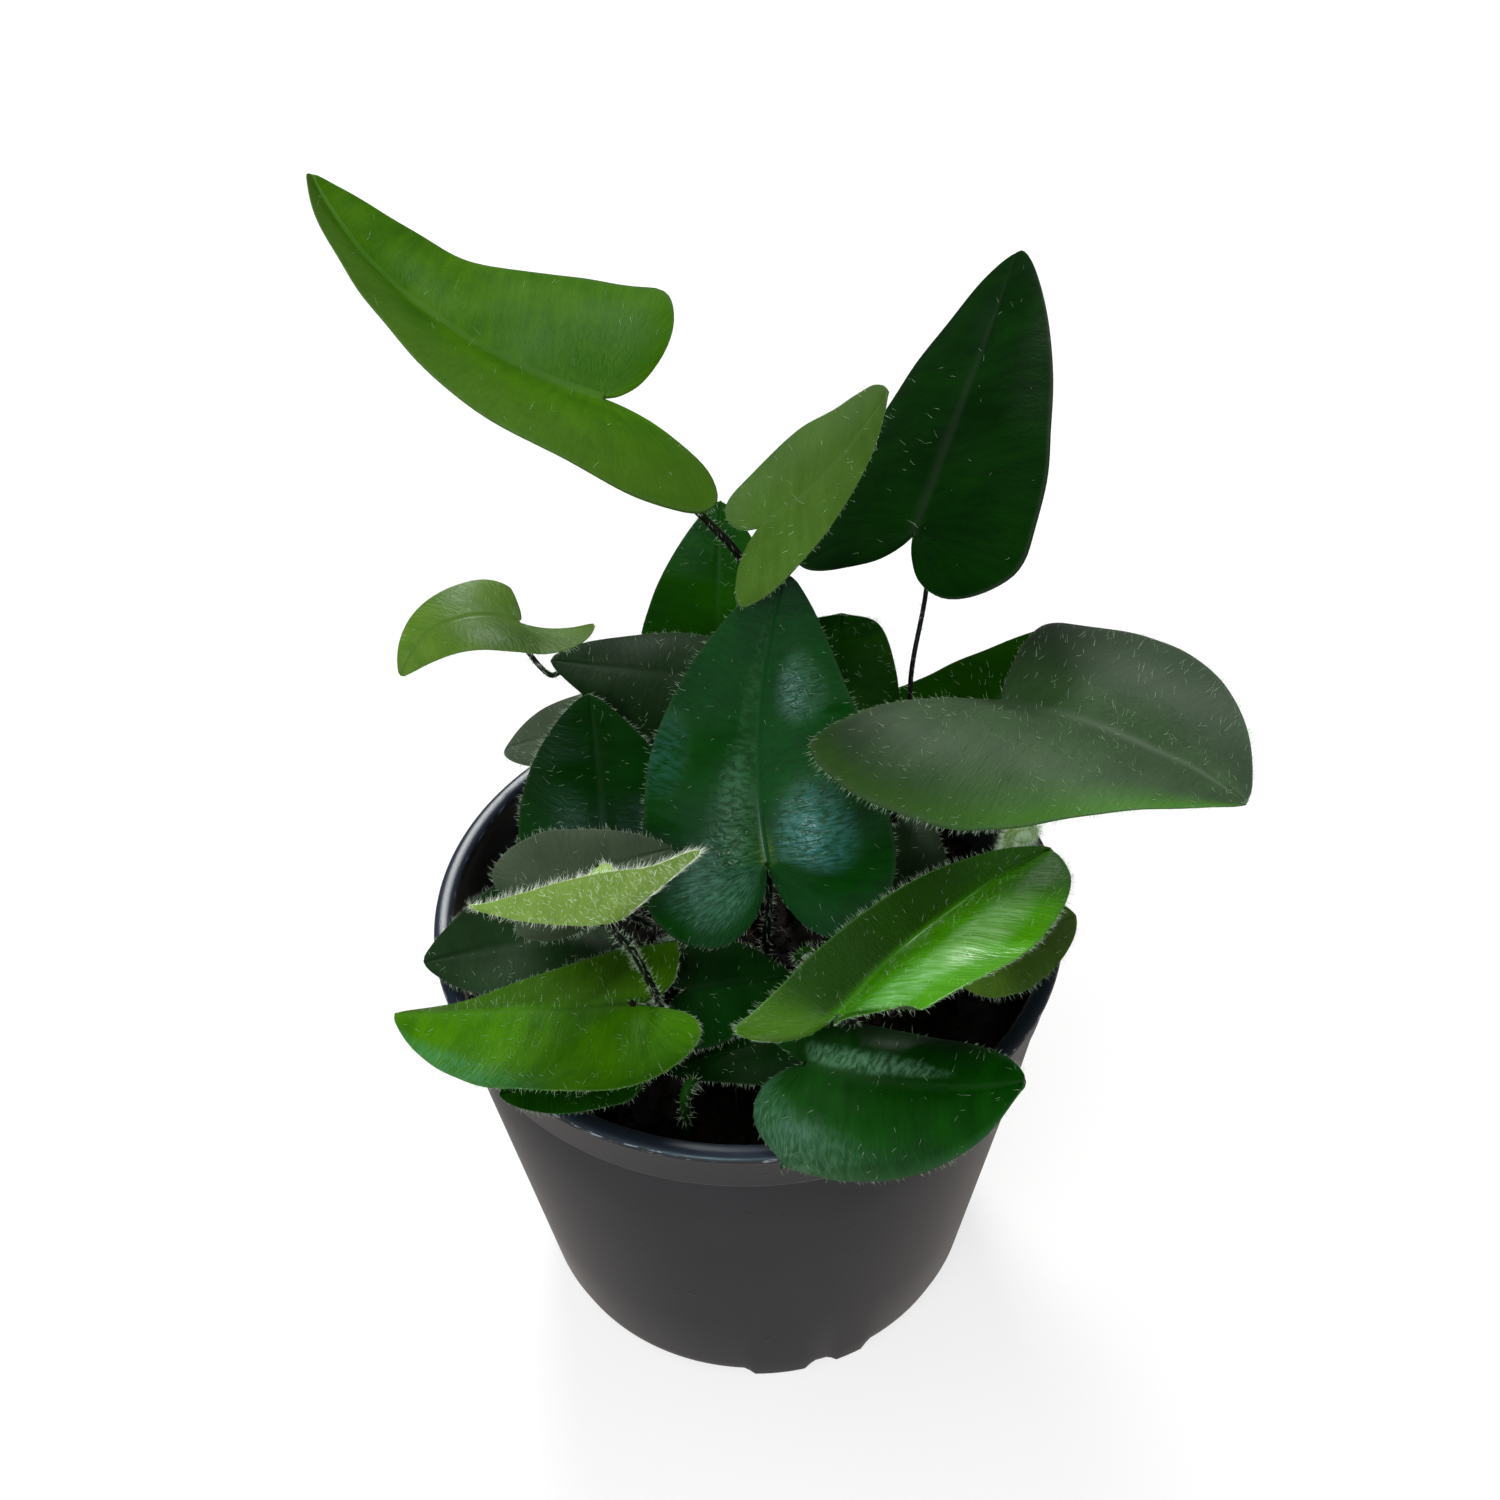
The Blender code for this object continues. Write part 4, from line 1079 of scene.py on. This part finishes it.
# %% Make the rolled fronds
# Name, tone, place and height, size of the coil, its turn, lean, radius and hairs per millimetre.
CROZIERS = [
    ("crozier_right_woolly", "woolly", (49.5, 12.0, 101.0), 2.6, 10.0, 1.5, 1.25, 150.0),
    ("crozier_front", "forest", (-12.5, -42.0, 90.0), 2.0, 60.0, 0.5, 0.95, 6.0),
    ("crozier_centre", "forest", (13.0, -6.0, 88.5), 1.9, 200.0, 0.8, 0.85, 16.0),
]


def crozier_line(x, y, height, coil, turn, lean):
    """Upright stem that ends in a coil."""
    foot = np.array([x, y, SOIL_TOP + 1.0])
    way = np.array([math.cos(math.radians(turn)), math.sin(math.radians(turn)), 0.0])
    top = np.array([x, y, height - coil]) + way * lean
    stem = smooth_path([foot, (foot + top) / 2 - way * lean * 0.12, top],
                       (top - foot) * 0.5, UPRIGHT * coil * 1.5, 8)
    steps = np.linspace(0, 8, 41)[1:, None]
    angle = np.radians(180 - steps * 38)
    reach = coil * (1.0 - 0.055 * steps)
    roll = top + way * (coil + reach * np.cos(angle)) + UPRIGHT * reach * np.sin(angle)
    return np.vstack([foot - UPRIGHT * HOLE_DEPTH, stem, roll])


for number, (name, tone, place, coil, turn, lean, radius, amount) in enumerate(CROZIERS):
    dice = np.random.default_rng(500 + number)
    path = crozier_line(*place, coil, turn, lean)
    radii = radius * (1.0 - 0.4 * np.maximum(0.0, np.linspace(0.0, 1.0, len(path)) - 0.3))
    points, faces = tube(path, radii, sides=12)
    add_piece("young_" + name, points, faces, [TONES[tone]], "crozier_green", [name])
    hairs = stem_hairs(path, radii, amount, reach=1.6, dice=dice)
    add_hairs("young_" + name + "_hairs", [hairs], hair_pale, "crozier_green")
print("rolled fronds:", len(CROZIERS))

# %% [markdown]
# ## The pot
# The pot is injection moulded: a plain cone with a collar whose step shows as a faint line, a
# rolled lip and a foot ring that is notched so water can drain. A Screw modifier could turn its
# section round the axis. Here the turning is done with arrays, because the notches lift the
# lower points of the section over parts of the turn.

# %% Turn the pot
POT_HEIGHT = 94.0
RIM = 60.0
FOOT = 43.5
FOOT_WIDTH = 3.0
WALL = 1.6
FLOOR = 3.8
COLLAR = POT_HEIGHT - 10.5
STEP = 0.5
NOTCH = 2.2
TURNS = 240


def wall_radius(height):
    return FOOT + (RIM - FOOT) * height / POT_HEIGHT


def notch_height(angle):
    """How far the lower edge is lifted at an angle, in degrees."""
    here = angle % 120.0
    for start, end in ((-61.0, 28.0), (-77.5, -69.5)):
        for lap in (0.0, 120.0):
            edge = min(here - start - lap, end + lap - here)
            if edge > 0:
                return NOTCH * min(1.0, edge / 1.6)
    return 0.0


# Each point is a radius and a height; the lip's are counted inwards and down from its corner.
FOOT_RING = [(FOOT - FOOT_WIDTH + 0.05, 0.05), (FOOT - 1.0, 0.0), (FOOT - 0.45, 0.12),
             (FOOT - 0.1, 0.45), (FOOT + 0.1, 1.0)]
LIP = [(0.45, 2.5), (0.28, 2.2), (0.05, 1.8), (0.0, 1.2), (0.1, 0.7), (0.4, 0.3), (0.8, 0.08),
       (1.3, 0.0), (2.5, 0.05), (3.1, 0.3), (3.4, 0.9), (3.4, 2.6), (3.2, 2.95), (2.7, 3.1)]
SECTION = [(0.02, 0.0), (FOOT - FOOT_WIDTH, 0.0)] + FOOT_RING
SECTION += [(wall_radius(height), height) for height in (6.0, 25.0, 45.0, 65.0)]
SECTION += [(wall_radius(COLLAR) - inwards, COLLAR + height) for inwards, height in
            ((STEP, -0.5), (STEP, -0.3), (0.08, -0.05), (0.0, 0.15))]
SECTION += [(RIM - inwards, POT_HEIGHT - down) for inwards, down in LIP]
SECTION += [(wall_radius(COLLAR) - WALL - STEP, COLLAR), (wall_radius(FLOOR) - WALL, FLOOR),
            (0.02, FLOOR)]


def turned(section, turns, lift, lifted):
    """Points and faces of a section turned round the axis; lift raises the lifted points."""
    degrees = np.arange(turns) * 360.0 / turns
    raised = np.array([lift(a) for a in degrees])
    angle = np.radians(degrees)
    points = [np.stack([radius * np.cos(angle), radius * np.sin(angle),
                        height + raised * ((radius, height) in lifted)], 1)
              for radius, height in section]
    return np.vstack(points), round_faces(len(section), turns)


points, faces = turned(SECTION, TURNS, notch_height, FOOT_RING)
add_piece("pot_shell", points, faces, [pot_charcoal], "pot_charcoal", ["pot"])
print("pot faces:", len(faces))

# %% [markdown]
# ## The soil
# Peat and bark fill the pot. A displaced disc would do for the surface, but its lumps are needed
# again to lay things on it, so one function gives its height. A round grid takes that height and
# some roughness, and it closes round the solid below.

# %% Fill the pot
SOIL_SIDES = 150
SOIL_ROWS = 46
SOIL_FOOT = 4.2


def soil_height(x, y):
    lumps = np.sin(x * 0.31 + 1.0) * np.cos(y * 0.27) + 0.6 * np.sin(x * 0.83 + y * 0.55)
    return SOIL_TOP + lumps * 0.9 - 0.0006 * (x * x + y * y)


dice = np.random.default_rng(900)
top_radius = wall_radius(SOIL_TOP - 2.0) - WALL - 0.6
low_radius = wall_radius(FLOOR) - WALL - 0.4
reaches = np.append(np.linspace(0.02, top_radius, SOIL_ROWS), [low_radius, 0.02])
turn = np.arange(SOIL_SIDES) * 2 * np.pi / SOIL_SIDES
x, y = reaches[:, None] * np.cos(turn), reaches[:, None] * np.sin(turn)
z = np.full(x.shape, SOIL_FOOT)
top_x, top_y = x[:SOIL_ROWS], y[:SOIL_ROWS]
rough = sum(h * np.sin(top_x * a + p) * np.sin(top_y * b + q) for a, b, p, q, h in
            zip(dice.uniform(0.7, 2.6, 9), dice.uniform(0.7, 2.6, 9), dice.uniform(0, 6, 9),
                dice.uniform(0, 6, 9), dice.uniform(0.1, 0.28, 9)))
z[:SOIL_ROWS] = soil_height(top_x, top_y) + rough + dice.normal(0, 0.12, top_x.shape)
z[SOIL_ROWS - 1] = SOIL_TOP - 2.4
add_piece("soil_bed", np.stack([x, y, z], -1).reshape(-1, 3),
          round_faces(len(reaches), SOIL_SIDES, turned_over=True), [soil_brown], "soil_brown",
          ["soil"])
print("soil is", round(2 * top_radius, 1), "mm wide")

# %% [markdown]
# ## Crumbs and roots
# Loose crumbs of bark lie on the soil, and tan root fibres stick out of it. Bump alone would look
# flat where light grazes it, so each crumb is a knocked-about ball and each fibre is a long hair.

# %% Scatter crumbs and roots
CRUMBS = 420
# Middle x and y of a patch of fibres, its radius, their number and how much they rise.
ROOTS = [(0.0, 0.0, 34.0, 220, 0.3), (43.0, 11.0, 6.0, 90, 0.9)]


def ring(radius, height, sides):
    return [(radius * math.cos(a), radius * math.sin(a), height)
            for a in np.arange(sides) * 2 * math.pi / sides]


def crumb(place, size, dice):
    """One rough bark crumb as a squashed, knocked-about ball."""
    rings, sides = 4, 7
    points = [(0.0, 0.0, -1.0)]
    for tilt in np.pi * np.arange(1, rings) / rings:
        points += ring(math.sin(tilt), -math.cos(tilt), sides)
    points = np.array(points + [(0.0, 0.0, 1.0)])
    points = points * dice.uniform(0.6, 1.25, (len(points), 1))
    points = points * size * dice.uniform((0.7, 0.5, 0.3), (1.7, 1.0, 0.7))
    spin = np.linalg.qr(dice.normal(size=(3, 3)))[0]
    faces = []
    last = len(points) - 1
    for k in range(sides):
        n = (k + 1) % sides
        faces += [(0, 1 + n, 1 + k), (last, last - sides + k, last - sides + n)]
        for row in range(rings - 2):
            a, b = 1 + row * sides + k, 1 + row * sides + n
            faces += [(a, b, b + sides), (a, b + sides, a + sides)]
    return points @ spin + place, np.array(faces)


crumbs = []
for _ in range(CRUMBS):
    reach, way = (top_radius - 2.0) * math.sqrt(dice.uniform()), dice.uniform(0, 2 * math.pi)
    at_x, at_y = reach * math.cos(way), reach * math.sin(way)
    size = dice.uniform(0.5, 1.7)
    place = (at_x, at_y, float(soil_height(at_x, at_y)) + 0.25 * size)
    crumbs.append(crumb(place, size, dice))
points, faces = gather(crumbs)
add_piece("soil_crumbs", points, faces, [soil_brown], "soil_brown")

fibres = []
for at_x, at_y, spread, count, rise in ROOTS:
    reach, way = spread * np.sqrt(dice.uniform(size=count)), dice.uniform(0, 2 * math.pi, count)
    x, y = at_x + reach * np.cos(way), at_y + reach * np.sin(way)
    heading = dice.uniform(0, 2 * math.pi, count)
    ways = unit(np.stack([np.cos(heading), np.sin(heading), np.full(count, rise)], 1))
    lengths = dice.uniform(2.0, 5.5, count)
    spots = np.stack([x, y, soil_height(x, y) + 0.1], 1)
    fibres.append(grow(spots, ways, lengths, width=0.10, bend_share=0.8, dice=dice))
fibre_count = add_hairs("soil_roots", fibres, root_tan, "soil_brown")
print("crumbs:", CRUMBS, "fibres:", fibre_count)

# %% [markdown]
# ## The floor
# The plant stands on a plain pale sheet. A huge floor would show a grey horizon, so this one is a
# small disc that glows a little, like a light table, and melts into a white ball round it all. A
# warm card under the pot is seen only in reflections, where it takes the chill off the plastic.

# %% Lay the floor
SHEET = 0.85
CARD = 0.22
RING_SIDES = 48


def stage_finish(name, colour, glow, tint=(1.0, 1.0, 1.0)):
    f = Finish(name)
    f.shade(Base_Color=(colour, colour, colour), Roughness=0.9, Specular_IOR_Level=0.05,
            Emission_Color=tint, Emission_Strength=glow)
    return f.material


def stage_piece(name, points, faces, finish, hidden_from):
    """Piece of the studio that some kinds of rays don't meet."""
    thing = stand(name, new_mesh(name, points, faces, [finish]))
    thing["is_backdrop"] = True
    for rays in hidden_from:
        setattr(thing, "visible_" + rays, False)


def shell(radius, rings, sides):
    """Ball of squares with a small hole at each pole."""
    points = []
    for tilt in math.pi * (0.001 + 0.998 * np.arange(rings + 1) / rings):
        points += ring(radius * math.sin(tilt), radius * math.cos(tilt), sides)
    return points, round_faces(rings + 1, sides)


disc = [tuple(range(RING_SIDES))]
stage_piece("floor", ring(SHEET, 0.0, RING_SIDES), disc, stage_finish("floor_pale", 0.27, 0.78),
            ["glossy"])
stage_piece("backdrop", *shell(radius=9.0, rings=16, sides=32),
            stage_finish("backdrop_white", 0.0, 1.0), ["diffuse", "glossy", "shadow"])
stage_piece("card", ring(CARD, 0.0002, RING_SIDES), disc,
            stage_finish("card_warm", 0.0, 0.26, (1.0, 0.90, 0.83)),
            ["camera", "diffuse", "shadow"])
print("floor is", 2 * SHEET, "m wide")

# %% [markdown]
# ## Finish
# The boxes of the plain solids and of the dressed plant are printed one after the other, so that
# anyone can see whether the dressing keeps the part's size.

# %% Print both sizes
dressed_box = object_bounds()
sizes = {"solids": [list(map(float, corner)) for corner in cad_box],
         "dressed": [list(map(float, corner)) for corner in dressed_box]}
print("solids:", sizes["solids"])
print("dressed:", sizes["dressed"])
